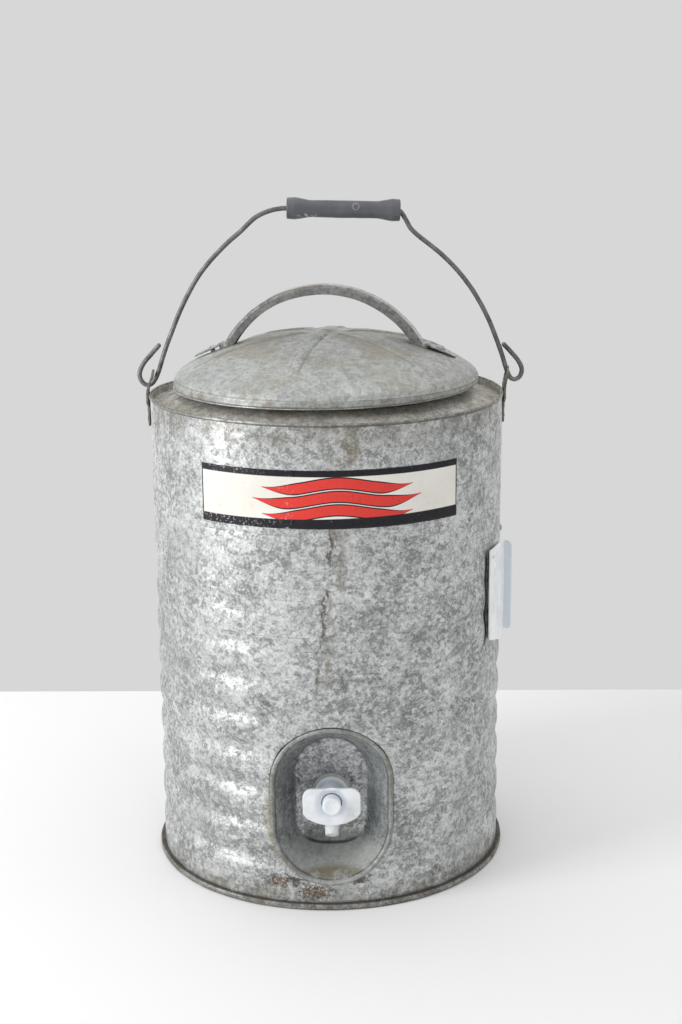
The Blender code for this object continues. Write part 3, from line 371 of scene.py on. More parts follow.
def deck_stains(finish, color):
    ragged = finish.noise(55.0, 6.0, 0.72)
    color = finish.mix(finish.range(ragged, 0.36, 0.62, 0.10, 0.62), color, (0.25, 0.215, 0.145))
    dark = finish.range(finish.noise(150.0, 5.0, 0.75), 0.57, 0.68)
    return finish.mix(finish.product(dark, 0.6), color, (0.09, 0.078, 0.055))


def rim_stains_and_shade(finish, color):
    x, y, z = finish.axes()
    ragged = finish.noise(70.0, 6.0, 0.72)
    color = finish.mix(finish.range(ragged, 0.42, 0.62, 0.0, 0.55), color, (0.20, 0.18, 0.13))
    top = finish.range(z, RIM_Z - 0.0012, RIM_Z - 0.0002)
    color = finish.mix(finish.product(top, 0.55), color, (0.13, 0.125, 0.11))
    # painted shadow along the hem's lower edge, where it meets the shell
    fold = finish.range(z, RIM_Z - HEM_TALL + 0.0012, RIM_Z - HEM_TALL)
    return finish.mix(finish.product(fold, 0.65), color, (0.09, 0.085, 0.07))


def arch_stains(finish, color):
    """The flanges have darkened; the back that hands touch is lighter, with rust along its corners."""
    x, y, z = finish.axes()
    turn = math.radians(-8.0)
    across = finish.math("SUBTRACT", finish.math("MULTIPLY", y, math.cos(turn)),
                         finish.math("MULTIPLY", x, math.sin(turn)))
    side = finish.math("ABSOLUTE", across)
    flange = finish.range(side, 0.0068, 0.0076)
    ragged = finish.noise(120.0, 5.0, 0.75)
    color = finish.mix(finish.product(flange, 0.50), color, (0.11, 0.11, 0.105))
    back = finish.math("SUBTRACT", 1.0, flange)
    color = finish.mix(finish.product(back, 0.35), color, (0.60, 0.59, 0.575))
    corner = finish.product(finish.band(side, 0.0070, 0.0003, 0.0008), finish.range(ragged, 0.40, 0.56),
                            finish.range(z, 0.460, 0.480))
    return finish.mix(finish.product(corner, 0.7), color, (0.22, 0.13, 0.085))


def lid_stains_and_shade(finish, color):
    x, y, z = finish.axes()
    ragged = finish.noise(26.0, 6.0, 0.74, 0.6)
    color = finish.mix(finish.range(ragged, 0.46, 0.66, 0.0, 0.45), color, (0.30, 0.275, 0.20))
    pale = finish.range(finish.noise(40.0, 5.0, 0.7, 0.8), 0.54, 0.66)
    color = finish.mix(finish.product(pale, 0.35), color, (0.50, 0.53, 0.52))
    crown = finish.product(finish.range(z, 0.438, 0.452), finish.range(ragged, 0.40, 0.58))
    color = finish.mix(finish.product(crown, 0.40), color, (0.26, 0.235, 0.18))
    low = finish.range(z, 0.4255, 0.4205)
    warm = finish.range(finish.noise(85.0, 5.0, 0.7), 0.50, 0.62)
    color = finish.mix(finish.product(low, warm, 0.65), color, (0.26, 0.20, 0.125))
    edge = finish.band(z, 0.4232, 0.0001, 0.0006)
    color = finish.mix(finish.product(edge, finish.range(ragged, 0.30, 0.48), 0.45), color, (0.13, 0.12, 0.10))
    # painted shade along both sides of the first three pressed ribs, on the front and right
    away = finish.math("SQRT", finish.math("ADD", finish.product(x, x), finish.product(y, y)))
    half_wide = finish.math("ADD", finish.math("MULTIPLY", away, -0.026), 0.0068)
    between = finish.product(finish.range(away, 0.014, 0.026), finish.range(away, 0.110, 0.098))
    for angle in RIB_ANGLES[:3]:
        turned_by = angle + LID_TURN
        across = finish.math("ABSOLUTE", finish.math("SUBTRACT", finish.math("MULTIPLY", y, math.cos(turned_by)),
                                                     finish.math("MULTIPLY", x, math.sin(turned_by))))
        side = finish.band(finish.math("SUBTRACT", across, half_wide), 0.0, 0.0002, 0.0012)
        color = finish.mix(finish.product(side, between, 0.34), color, (0.125, 0.125, 0.11))
    specks = finish.range(finish.noise(210.0, 4.0, 0.75), 0.63, 0.70)
    return finish.mix(finish.product(specks, 0.55), color, (0.09, 0.08, 0.062))


def alcove_stains_and_shade(finish, color):
    x, y, z = finish.axes()
    ragged = finish.noise(70.0, 5.0, 0.7)
    out = finish.math("SQRT", finish.math("ADD", finish.product(x, x), finish.product(y, y)))
    inside = finish.range(out, SHELL_R + 0.0004, SHELL_R - 0.0016)
    floor = finish.range(y, -0.1165, -0.1130)
    runs = finish.range(finish.noise(80.0, 5.0, 0.7, place=finish.stretched((1.0, 1.0, 0.16))), 0.40, 0.60)
    wall = finish.product(inside, finish.math("SUBTRACT", 1.0, floor))
    # painted shade: the walls inside the recess made darker and blue-grey
    color = finish.mix(finish.product(wall, 0.50), color, (0.155, 0.175, 0.175))
    color = finish.mix(finish.product(wall, runs, 0.40), color, (0.10, 0.11, 0.11))
    spots = finish.range(finish.noise(190.0, 5.0, 0.80), 0.55, 0.62)
    color = finish.mix(finish.product(inside, spots, 0.75), color, (0.045, 0.047, 0.045))
    low = finish.range(z, 0.056, 0.046)
    color = finish.mix(finish.product(low, inside, 0.50), color, (0.50, 0.51, 0.48))
    warm = finish.product(finish.band(z, 0.0290, 0.0010, 0.0050), inside, finish.range(ragged, 0.34, 0.55))
    color = finish.mix(finish.product(warm, 0.85), color, (0.17, 0.14, 0.08))
    # painted shade: a near-black line in the crease where the floor bends into the lower wall
    crease = finish.product(finish.band(y, -0.1146, 0.0008, 0.0014), finish.range(z, 0.060, 0.050),
                            finish.range(finish.math("ABSOLUTE", x), 0.027, 0.018))
    color = finish.mix(finish.product(crease, 0.85), color, (0.04, 0.042, 0.04))
    lip = finish.math("SUBTRACT", 1.0, inside)
    color = finish.mix(finish.product(lip, 0.65), color, (0.215, 0.225, 0.210))
    inner_edge = finish.band(out, SHELL_R - 0.0014, 0.0002, 0.0010)
    color = finish.mix(finish.product(inner_edge, finish.range(ragged, 0.30, 0.50), 0.75), color, (0.06, 0.06, 0.055))
    lip_dirt = finish.product(lip, finish.range(ragged, 0.40, 0.62))
    return finish.mix(finish.product(lip_dirt, 0.45), color, (0.14, 0.13, 0.09))


def chime_stains(finish, color):
    x, y, z = finish.axes()
    ragged = finish.noise(75.0, 6.0, 0.75)
    color = finish.mix(finish.range(ragged, 0.40, 0.64, 0.05, 0.60), color, (0.17, 0.155, 0.12))
    top = finish.range(z, 0.0044, 0.0052)
    color = finish.mix(finish.product(top, 0.8), color, (0.045, 0.04, 0.032))
    low = finish.range(z, 0.0020, 0.0002)
    color = finish.mix(finish.product(low, 0.7), color, (0.06, 0.052, 0.042))
    rust = finish.product(finish.range(finish.noise(60.0, 5.0, 0.75), 0.56, 0.64), 0.45)
    return finish.mix(rust, color, (0.12, 0.066, 0.036))


def bracket_shade_and_chip(finish, paint):
    """Painted shade: the flange made darker and blue-grey; and a brown chip near the plate's top corner."""
    x, y, z = finish.axes()
    turn = math.radians(-23.0)
    out = finish.math("ADD", finish.math("MULTIPLY", x, math.cos(turn)), finish.math("MULTIPLY", y, math.sin(turn)))
    along = finish.math("SUBTRACT", finish.math("MULTIPLY", y, math.cos(turn)), finish.math("MULTIPLY", x, math.sin(turn)))
    flange = finish.product(finish.range(out, SHELL_R + 0.0026, SHELL_R + 0.0032), finish.range(along, 0.0235, 0.0240))
    # painted shade on the flange
    paint = finish.mix(finish.product(flange, 0.92), paint, (0.62, 0.68, 0.74))
    chip = finish.product(spot_mask(finish, y, z, -0.064, 0.2775, 0.005, 0.0022),
                          finish.range(finish.noise(420.0, 4.0, 0.7), 0.46, 0.56))
    return finish.mix(finish.product(chip, 0.9), paint, (0.30, 0.20, 0.14))


def dish_painted_shade(finish, paint):
    """Painted blue-grey shade in the dish round the button, and a painted dark shadow in the gap beside it."""
    x, y, z = finish.axes()
    up = finish.math("SUBTRACT", z, SPIGOT_Z)
    away = finish.math("SQRT", finish.math("ADD", finish.product(x, x), finish.product(up, up)))
    near = finish.product(finish.range(y, -0.1422, -0.1416), finish.range(away, 0.0138, 0.0100))
    paint = finish.mix(finish.product(near, 0.40), paint, (0.42, 0.52, 0.66))
    gap = finish.product(finish.band(away, 0.0082, 0.0001, 0.0005), finish.range(y, -0.1418, -0.1402))
    return finish.mix(finish.product(gap, 0.9), paint, (0.05, 0.06, 0.075))


def painted_white(name, color, dirt=(0.30, 0.25, 0.17), rough=0.34, wear=0.6, shade_and_marks=None):
    """White enamel or plastic, a little uneven, with grime and fine scratches."""
    finish = Finish(name)
    cloud = finish.noise(55.0, 4.0, 0.6)
    shade = tuple(c * 0.88 for c in color)
    paint = finish.mix(finish.range(cloud, 0.35, 0.65), color, shade)
    grime = finish.product(finish.range(finish.noise(130.0, 6.0, 0.75), 0.60, 0.74), wear)
    paint = finish.mix(grime, paint, dirt)
    # painted shade, and marks, from the function passed in
    if shade_and_marks:
        paint = shade_and_marks(finish, paint)
    scratches = finish.noise(260.0, 3.0, 0.8, place=finish.stretched((1.0, 1.0, 0.12)))
    roughness = finish.range(scratches, 0.35, 0.68, rough - 0.05, rough + 0.14)
    normal = finish.bump(finish.noise(340.0, 4.0, 0.6), 0.00008, 0.7)
    return finish.done(paint, roughness, normal)


def build_label_print():
    """Cream field between black bands, with three plain red waves across the middle."""
    finish = Finish("label_print", roughness=0.32, specular=0.3)
    uv = finish.coords.outputs["UV"]
    u, v, _ = finish.axes(uv)
    ragged = finish.noise(170.0, 5.0, 0.7)
    cream_cloud = finish.noise(26.0, 5.0, 0.6)
    cream = finish.ramp(cream_cloud, [(0.3, (0.74, 0.715, 0.65)), (0.7, (0.81, 0.795, 0.745))])
    foxing = finish.product(finish.range(finish.noise(90.0, 6.0, 0.75), 0.58, 0.72), 0.35)
    color = finish.mix(foxing, cream, (0.50, 0.40, 0.25))
    black, red = (0.008, 0.008, 0.012), (0.70, 0.045, 0.035)
    # waves: u runs 0 to 1 along the label and v 0 to 1 up it
    swing = finish.product(finish.math("SINE", finish.math("MULTIPLY", finish.math("SUBTRACT", u, 0.03), 16.0)), 0.060)
    off = finish.math("ABSOLUTE", finish.math("SUBTRACT", u, 0.525))
    for middle, long in ((0.265, 0.290), (0.495, 0.325), (0.725, 0.290)):
        taper = finish.range(off, long - 0.15, long, 1.0, 0.0)
        away = finish.math("ABSOLUTE", finish.math("SUBTRACT", finish.math("SUBTRACT", v, swing), middle))
        rim = finish.math("SUBTRACT", away, finish.math("MULTIPLY", taper, 0.104))
        fill = finish.math("SUBTRACT", away, finish.math("MULTIPLY", taper, 0.082))
        there = finish.range(taper, 0.02, 0.05)
        color = finish.mix(finish.product(finish.range(rim, 0.006, 0.0), there), color, black)
        color = finish.mix(finish.product(finish.range(fill, 0.006, 0.0), there), color, red)
    low_edge = finish.range(u, 0.0, 1.0, 0.150, 0.195)
    low = finish.range(finish.math("SUBTRACT", v, low_edge), 0.005, -0.005)
    high = finish.range(v, 0.885, 0.895)
    ends = finish.range(finish.math("ABSOLUTE", finish.math("SUBTRACT", u, 0.5)), 0.4935, 0.496)
    border = finish.math("MAXIMUM", finish.math("MAXIMUM", low, high), ends)
    color = finish.mix(border, color, black)
    # chips and rubbed patches, most on the left of the lower band, and a rubbed stretch across
    rubbed = finish.range(finish.noise(480.0, 5.0, 0.78), 0.57, 0.62)
    left = finish.product(finish.range(u, 0.42, 0.16), finish.range(v, 0.24, 0.12))
    high_left = finish.product(finish.range(u, 0.34, 0.10), finish.range(v, 0.86, 0.94), 0.6)
    scrape = finish.product(finish.band(u, 0.345, 0.010, 0.030), finish.range(ragged, 0.44, 0.60), 0.9)
    worn = finish.math("MAXIMUM", finish.math("MAXIMUM", left, high_left), scrape)
    color = finish.mix(finish.product(rubbed, worn), color, (0.62, 0.61, 0.62))
    nicks = finish.range(finish.noise(300.0, 4.0, 0.7), 0.69, 0.72)
    color = finish.mix(finish.product(nicks, 0.7), color, (0.45, 0.44, 0.42))
    roughness = finish.range(ragged, 0.3, 0.7, 0.24, 0.46)
    normal = finish.bump(finish.noise(75.0, 4.0, 0.6), 0.0004, 0.6)
    return finish.done(color, roughness, normal)


def build_grip_plastic():
    finish = Finish("grip_plastic", roughness=0.42, specular=0.4)
    cloud = finish.noise(45.0, 5.0, 0.6)
    color = finish.ramp(cloud, [(0.3, (0.070, 0.074, 0.084)), (0.7, (0.115, 0.121, 0.134))])
    along = finish.noise(200.0, 5.0, 0.8, place=finish.stretched((0.25, 1.0, 1.0)))
    scuff = finish.range(along, 0.60, 0.70)
    color = finish.mix(finish.product(scuff, 0.35), color, (0.22, 0.215, 0.20))
    dust = finish.range(finish.noise(420.0, 4.0, 0.75), 0.64, 0.70)
    color = finish.mix(finish.product(dust, 0.35), color, (0.30, 0.29, 0.27))
    x, y, z = finish.axes()
    facing_front = finish.range(y, -0.001, -0.004)
    low_left = finish.product(spot_mask(finish, x, z, -0.014, 0.5575, 0.014, 0.0035), facing_front,
                              finish.range(finish.noise(330.0, 5.0, 0.8), 0.50, 0.58))
    color = finish.mix(finish.product(low_left, 0.9), color, (0.55, 0.54, 0.52))
    across = finish.math("SUBTRACT", x, 0.0262)
    up = finish.math("SUBTRACT", z, 0.5655)
    away = finish.math("SQRT", finish.math("ADD", finish.product(across, across), finish.product(up, up)))
    ring = finish.product(finish.band(away, 0.0026, 0.0002, 0.0005), facing_front,
                          finish.range(finish.noise(500.0, 3.0, 0.7), 0.34, 0.50))
    color = finish.mix(finish.product(ring, 0.65), color, (0.30, 0.29, 0.27))
    roughness = finish.range(along, 0.35, 0.70, 0.32, 0.55)
    normal = finish.bump(finish.noise(300.0, 4.0, 0.65), 0.00008, 0.8)
    return finish.done(color, roughness, normal)


def build_wire_steel():
    finish = Finish("bail_wire_steel", metallic=0.75, roughness=0.42)
    cloud = finish.noise(95.0, 6.0, 0.7)
    color = finish.ramp(cloud, [(0.30, (0.085, 0.085, 0.085)), (0.70, (0.235, 0.24, 0.245))])
    rust = finish.range(finish.noise(70.0, 5.0, 0.75), 0.60, 0.70)
    color = finish.mix(finish.product(rust, 0.45), color, (0.11, 0.06, 0.035))
    roughness = finish.range(cloud, 0.3, 0.7, 0.55, 0.36)
    normal = finish.bump(finish.noise(520.0, 4.0, 0.7), 0.00012, 0.9)
    return finish.done(color, roughness, normal)


def build_foam():
    finish = Finish("insulation_foam", roughness=0.9)
    color = finish.ramp(finish.noise(35.0, 6.0, 0.7), [(0.3, (0.58, 0.47, 0.25)), (0.7, (0.76, 0.67, 0.43))])
    normal = finish.bump(finish.cells(380.0, edges=True), 0.0006, 0.8)
    return finish.done(color, 0.9, normal)


def build_rubber():
    finish = Finish("seal_rubber_grey", roughness=0.6)
    color = finish.ramp(finish.noise(120.0, 5.0, 0.7), [(0.3, (0.42, 0.42, 0.40)), (0.7, (0.60, 0.60, 0.585))])
    roughness = finish.range(finish.noise(240.0, 3.0, 0.6), 0.3, 0.7, 0.5, 0.75)
    normal = finish.bump(finish.noise(500.0, 3.0, 0.6), 0.00010, 0.7)
    return finish.done(color, roughness, normal)


shell_zinc = galvanized("zinc_shell", dirt_and_shade=shell_stains_and_shade)
plain_zinc = galvanized("zinc_plain")
rim_zinc = galvanized("zinc_rim", dark=(0.17, 0.172, 0.168), light=(0.52, 0.525, 0.52), dirt_and_shade=rim_stains_and_shade)
deck_zinc = galvanized("zinc_deck", dark=(0.30, 0.30, 0.285), light=(0.70, 0.70, 0.67), rough=(0.45, 0.7),
                       metallic=0.35, dirt_and_shade=deck_stains)
lid_zinc = galvanized("zinc_lid", dark=(0.25, 0.258, 0.25), light=(0.50, 0.515, 0.505), contrast=0.19,
                      rough=(0.42, 0.62), metallic=0.5, dirt_and_shade=lid_stains_and_shade, bumps=0.00022, scale=0.8)
arch_zinc = galvanized("zinc_lid_handle", dark=(0.15, 0.152, 0.148), light=(0.42, 0.425, 0.42), rough=(0.36, 0.6),
                       metallic=0.6, dirt_and_shade=arch_stains)
# painted shade: a much darker copy of the zinc for the ear straps, standing for their shade
ear_zinc_shaded = galvanized("zinc_ears_shaded", dark=(0.08, 0.08, 0.075), light=(0.25, 0.245, 0.235), rough=(0.4, 0.65),
                      dirt_and_shade=deck_stains)
alcove_zinc = galvanized("zinc_alcove", dark=(0.24, 0.248, 0.25), light=(0.66, 0.675, 0.68), metallic=0.4,
                         contrast=0.10, rough=(0.42, 0.66), dirt_and_shade=alcove_stains_and_shade)
chime_zinc = galvanized("zinc_chime", dark=(0.13, 0.13, 0.122), light=(0.42, 0.42, 0.405), rough=(0.45, 0.7),
                        dirt_and_shade=chime_stains)
tank_zinc = galvanized("zinc_tank", dark=(0.30, 0.305, 0.30), light=(0.62, 0.63, 0.63), rough=(0.32, 0.5))
white_enamel = painted_white("enamel_white", (0.95, 0.965, 0.975), rough=0.32, wear=0.25, shade_and_marks=bracket_shade_and_chip)
white_plastic = painted_white("plastic_white", (0.80, 0.83, 0.86), dirt=(0.42, 0.38, 0.30), rough=0.36, wear=0.35)
wing_plastic = painted_white("plastic_wing", (0.80, 0.83, 0.86), dirt=(0.42, 0.38, 0.30), rough=0.36, wear=0.35,
                             shade_and_marks=dish_painted_shade)
seal_rubber = build_rubber()
label_print = build_label_print()
grip_plastic = build_grip_plastic()
wire_steel = build_wire_steel()
foam = build_foam()


# ---------------------------------------------------------------- mesh helpers

def softened(corners, closed=True, steps=5):
    """An outline through (x, y, radius) corners, with an arc at each corner that has a radius."""
    points = []
    count = len(corners)
    for i, corner in enumerate(corners):
        here = Vector(corner[:2])
        radius = corner[2] if len(corner) > 2 else 0.0
        if not radius or (not closed and i in (0, count - 1)):
            points.append(tuple(here))
            continue
        before = Vector(corners[i - 1][:2]) - here
        after = Vector(corners[(i + 1) % count][:2]) - here
        half = before.angle(after) / 2
        reach = min(radius / math.tan(half), 0.49 * before.length, 0.49 * after.length)
        radius = reach * math.tan(half)
        before.normalize()
        after.normalize()
        middle = here + (before + after).normalized() * radius / math.sin(half)
        start = here + before * reach - middle
        end = here + after * reach - middle
        for k in range(steps + 1):
            points.append(tuple(middle + start.lerp(end, k / steps).normalized() * radius))
    return points


def piece(name, verts, faces, material, body, stands_for=(), thickness=0.0, outwards=-1.0,
          sharp=40.0, place=None, bevel=0.0, even=True):
    """A finished mesh on a body. A skin gets its sheet thickness here, and the normals are put right."""
    mesh = bpy.data.meshes.new(name)
    mesh.from_pydata([tuple(v) for v in verts], [], faces)
    if place is not None:
        mesh.transform(place)
    bm = bmesh.new()
    bm.from_mesh(mesh)
    bmesh.ops.remove_doubles(bm, verts=bm.verts, dist=0.0000008)
    bmesh.ops.dissolve_degenerate(bm, edges=bm.edges, dist=0.0000008)
    if thickness == 0.0:
        bmesh.ops.recalc_face_normals(bm, faces=bm.faces)
    bm.to_mesh(mesh)
    bm.free()
    obj = bpy.data.objects.new(name, mesh)
    bpy.context.scene.collection.objects.link(obj)
    if thickness:
        skin = obj.modifiers.new("sheet", "SOLIDIFY")
        skin.thickness = thickness
        skin.offset = outwards
        skin.use_even_offset = even
    if bevel:
        edge = obj.modifiers.new("edge", "BEVEL")
        edge.width = bevel
        edge.segments = 3
        edge.limit_method = "ANGLE"
        edge.angle_limit = math.radians(35.0)
    if thickness or bevel:
        bpy.context.view_layer.update()
        made = bpy.data.meshes.new_from_object(obj.evaluated_get(bpy.context.evaluated_depsgraph_get()))
        obj.modifiers.clear()
        obj.data = made
        made.name = name
    obj.data.shade_smooth()
    obj.data.set_sharp_from_angle(angle=math.radians(sharp))
    obj.data.materials.clear()
    obj.data.materials.append(material)
    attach(obj, body)
    if stands_for:
        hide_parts(*stands_for)
    return obj


def grid_faces(rows, columns, around=True, ends=False):
    """Quads between rows of a grid; ends joins the last row back to the first."""
    faces = []
    for i in range(rows if ends else rows - 1):
        below = (i + 1) % rows
        for j in range(columns if around else columns - 1):
            k = (j + 1) % columns
            faces.append((i * columns + j, i * columns + k, below * columns + k, below * columns + j))
    return faces


def turned(profile, segments=192, closed=True, warp=None):
    """Vertices and faces of an (r, z) profile turned about Z. warp(x, y, z) moves each point."""
    verts = []
    for r, z in profile:
        for j in range(segments):
            angle = 2 * math.pi * j / segments
            point = Vector((r * math.cos(angle), r * math.sin(angle), z))
            verts.append(warp(point) if warp else point)
    return verts, grid_faces(len(profile), segments, ends=closed)


def oval(half_wide, half_tall, count):
    """count points on a stadium outline with upright sides, anticlockwise from the right."""
    straight = max(half_tall - half_wide, 0.0)
    quarter = math.pi * half_wide
    total = 2 * quarter + 4 * straight
    points = []
    for i in range(count):
        s = (total * i / count + 0.0) % total
        if s < straight:
            points.append((half_wide, s))
        elif s < straight + quarter:
            angle = (s - straight) / half_wide
            points.append((half_wide * math.cos(angle), straight + half_wide * math.sin(angle)))
        elif s < 3 * straight + quarter:
            points.append((-half_wide, 2 * straight + quarter - s))
        elif s < 3 * straight + 2 * quarter:
            angle = math.pi + (s - 3 * straight - quarter) / half_wide
            points.append((half_wide * math.cos(angle), -straight + half_wide * math.sin(angle)))
        else:
            points.append((half_wide, s - total))
    return points


def smooth_line(points, per_span=10):
    """A Catmull-Rom curve through points, with that many steps to each span."""
    points = [Vector(p) for p in points]
    ends = [2 * points[0] - points[1]] + points + [2 * points[-1] - points[-2]]
    line = []
    for p0, p1, p2, p3 in zip(ends, ends[1:], ends[2:], ends[3:]):
        for i in range(per_span):
            t = i / per_span
            line.append(0.5 * (2 * p1 + (p2 - p0) * t + (2 * p0 - 5 * p1 + 4 * p2 - p3) * t * t
                               + (3 * p1 - p0 - 3 * p2 + p3) * t ** 3))
    return line + [points[-1]]


def facing(angle):
    """Matrix whose local Z points out from the axis at an angle from +X, with local Y upwards."""
    out = Vector((math.cos(angle), math.sin(angle), 0))
    along = Vector((-math.sin(angle), math.cos(angle), 0))
    return Matrix((along, Vector((0, 0, 1)), out)).transposed().to_4x4()


# ---------------------------------------------------------------- shell

dents = []
for _ in range(46):
    dents.append((rng.uniform(-math.pi, math.pi), rng.uniform(0.02, 0.39), rng.uniform(0.008, 0.030),
                  rng.uniform(-0.0007, 0.00035)))
# placed ones: (angle from the front, height, radius, depth)
for turn, z, radius, depth in ((-38.0, 0.285, 0.013, -0.0009), (-20.0, 0.265, 0.010, -0.0007),
                               (24.0, 0.235, 0.020, -0.0008), (62.0, 0.29, 0.018, -0.0008),
                               (-62.0, 0.215, 0.022, -0.0011), (8.0, 0.205, 0.012, -0.0006),
                               (44.0, 0.120, 0.018, -0.0010), (-50.0, 0.060, 0.020, -0.0009)):
    dents.append((math.radians(turn) - math.pi / 2, z, radius, depth))


def rim_wave(angle):
    """The rim isn't quite level: it dips at the back on the left."""
    back_left = math.cos(angle - math.radians(125.0))
    return 0.0005 * math.sin(2 * angle + 0.6) - 0.0013 * max(back_left, 0.0) ** 3


def shell_radius(angle, z):
    """Outer radius of the wall: beads, a seam at the back, small dents and slow unevenness."""
    radius = SHELL_R
    turn = 2 * math.pi * (z - FIRST_BEAD_Z) / BEAD_PITCH
    first, last = FIRST_BEAD_Z - BEAD_PITCH / 2, FIRST_BEAD_Z + (BEAD_COUNT - 0.5) * BEAD_PITCH
    if first < z < last:
        shallow = 1.0 - 0.58 * min(max((z - 0.17) / 0.09, 0.0), 1.0)
        radius -= BEAD_DEPTH * shallow * (0.5 + 0.5 * math.cos(turn)) ** 1.6
    seam = (angle - math.pi / 2) * SHELL_R
    radius += 0.0009 * max(0.0, min(1.0, (0.0050 - abs(seam)) / 0.0008))
    radius -= 0.0004 * max(0.0, 1.0 - abs(z - 0.3195) / 0.0012)
    spot = Vector((SHELL_R * math.cos(angle), SHELL_R * math.sin(angle), z))
    radius += 0.0005 * noise.noise(spot * 14.0) + 0.00022 * noise.noise(spot * 55.0)
    for dent_angle, dent_z, size, depth in dents:
        across = abs(angle - dent_angle)
        across = min(across, 2 * math.pi - across) * SHELL_R
        away = (across * across + (z - dent_z) ** 2) / (size * size)
        if away < 5.0:
            radius += depth * math.exp(-away)
    edge = min(1.0, max(0.0, (z - 0.006) / 0.012), max(0.0, (RIM_Z - 0.006 - z) / 0.012))
    return SHELL_R - 0.00015 + (radius - SHELL_R + 0.00015) * max(edge, 0.12)


def oval_distance(x, z):
    """Signed distance from the alcove's opening, and the nearest point on it."""
    straight = ALCOVE_HALF_TALL - ALCOVE_HALF_WIDE
    core = min(max(z - ALCOVE_Z, -straight), straight)
    dx, dz = x, z - ALCOVE_Z - core
    away = math.hypot(dx, dz) or 1e-9
    hole = ALCOVE_HALF_WIDE + 0.0004
    return away - hole, (dx / away * hole, ALCOVE_Z + core + dz / away * hole)


def build_shell():
    columns = 400
    low, high = 0.0044, RIM_Z - 0.0012
    rows = 394
    verts, keep = [], []
    for i in range(rows):
        z = low + (high - low) * i / (rows - 1)
        for j in range(columns):
            angle = 2 * math.pi * j / columns - math.pi
            radius = shell_radius(angle, z)
            lift = rim_wave(angle) * max(0.0, (z - 0.30) / (RIM_Z - 0.30))
            verts.append(Vector((radius * math.cos(angle), radius * math.sin(angle), z + lift)))
            keep.append(verts[-1].y > 0 or oval_distance(verts[-1].x, verts[-1].z)[0] >= 0)
    faces = []
    moved = {}
    for face in grid_faces(rows, columns):
        inside = [v for v in face if not keep[v]]
        if len(inside) == 4:
            continue
        faces.append(face)
        for v in inside:
            x, z = oval_distance(verts[v].x, verts[v].z)[1]
            moved[v] = Vector((x, -math.sqrt(verts[v].xy.length_squared - x * x), z))
    for v, point in moved.items():
        verts[v] = point
    used = sorted({v for face in faces for v in face})
    order = {v: i for i, v in enumerate(used)}
    faces = [tuple(order[v] for v in face) for face in faces]
    piece("shell_wall", [verts[v] for v in used], faces, shell_zinc, "cooler", ("outer_shell",),
          thickness=SHEET, outwards=-1.0, sharp=50.0)

    def wavy(point):
        return point + Vector((0, 0, rim_wave(math.atan2(point.y, point.x))))

    inner, outer = SHELL_R - SHEET, SHELL_R + 0.0009
    hem = softened([(outer, RIM_Z, 0.0009), (outer, RIM_Z - HEM_TALL, 0.0006), (SHELL_R + 0.0001, RIM_Z - HEM_TALL - 0.0004),
                    (SHELL_R + 0.0001, RIM_Z - 0.0032), (inner, RIM_Z - 0.0032), (inner, RIM_Z, 0.0009)])
    verts, faces = turned(hem, 320, warp=wavy)
    piece("shell_hem", verts, faces, rim_zinc, "cooler", ("outer_shell",), sharp=35.0)

    crown_r, collar_r = 0.1160, 0.1130
    edge = SHELL_R - SHEET - 0.0003
    trough = RIM_Z - 0.0068
    deck = softened([(edge, RIM_Z - 0.0016), (edge, trough, 0.0012), (edge - 0.006, trough - 0.0002, 0.004),
                     (crown_r, deck_high.z, 0.0030), (collar_r, deck_high.z, 0.0012), (collar_r, deck_low.z),
                     (collar_r + SHEET, deck_low.z), (collar_r + SHEET, deck_high.z - 0.002, 0.0008),
                     (crown_r, deck_high.z - SHEET, 0.003), (edge - 0.006, trough - 0.0002 - SHEET, 0.004),
                     (edge - SHEET, trough - SHEET, 0.0008), (edge - SHEET, RIM_Z - 0.0016)])

    def uneven(point):
        angle = math.atan2(point.y, point.x)
        share = max(0.0, (point.xy.length - 0.118) / (edge - 0.118))
        bumpy = 0.0005 * noise.noise(point * 28.0) * min(share, 1.0 - share) * 2
        return point + Vector((0, 0, rim_wave(angle) * share + bumpy))

    verts, faces = turned(deck, 288, warp=uneven)
    piece("top_deck", verts, faces, deck_zinc, "cooler", ("deck",), sharp=35.0)


def build_base():
    outer, inner = SHELL_R + 0.0040, SHELL_R - 0.0010

    def crimped(point):
        angle = math.atan2(point.y, point.x)
        grow = 0.0004 * noise.noise(Vector((math.cos(angle), math.sin(angle), 0.3)) * 9.0)
        out = Vector((point.x, point.y, 0)).normalized() if point.xy.length > 0.14 else Vector()
        return point + out * grow * (1 if point.z > 0.0006 else 0)

    recess = 0.006
    outline = softened([(outer, 0.0054, 0.0018), (outer, 0.0004, 0.0014), (outer - 0.0022, 0.0, 0.0006),
                        (inner, 0.0, 0.0006), (inner - 0.0006, recess, 0.0010), (0.012, recess), (0.012, recess + SHEET),
                        (inner - 0.003, recess + SHEET, 0.0008), (inner - 0.0012, 0.0052, 0.0003),
                        (SHELL_R - 0.0004, 0.0053)])
    verts, faces = turned(outline, 288, warp=crimped)
    piece("base_seam", verts, faces, chime_zinc, "cooler", ("bottom_pan",), sharp=35.0)
    disc = softened([(0.0001, recess + SHEET), (0.0001, recess), (0.0122, recess), (0.0122, recess + SHEET)])
    verts, faces = turned(disc, 48)
    piece("base_middle", verts, faces, chime_zinc, "cooler", ("bottom_pan",))


def build_tank():
    neck = 0.1127
    top, low, wall = tank_high.z, tank_low.z, 0.1080
    outer = [(neck, top, 0.0003), (neck, top - 0.010, 0.002), (wall, top - 0.016, 0.003), (wall, low, 0.006),
             (0.0001, low)]
    inner = [(0.0001, low + SHEET), (wall - SHEET, low + SHEET, 0.0053), (wall - SHEET, top - 0.0162, 0.003),
             (neck - SHEET, top - 0.0102, 0.002), (neck - SHEET, top)]
    verts, faces = turned(softened(outer + inner), 192)
    piece("water_tank", verts, faces, tank_zinc, "cooler", ("inner_tank",), sharp=35.0)


# ---------------------------------------------------------------- alcove

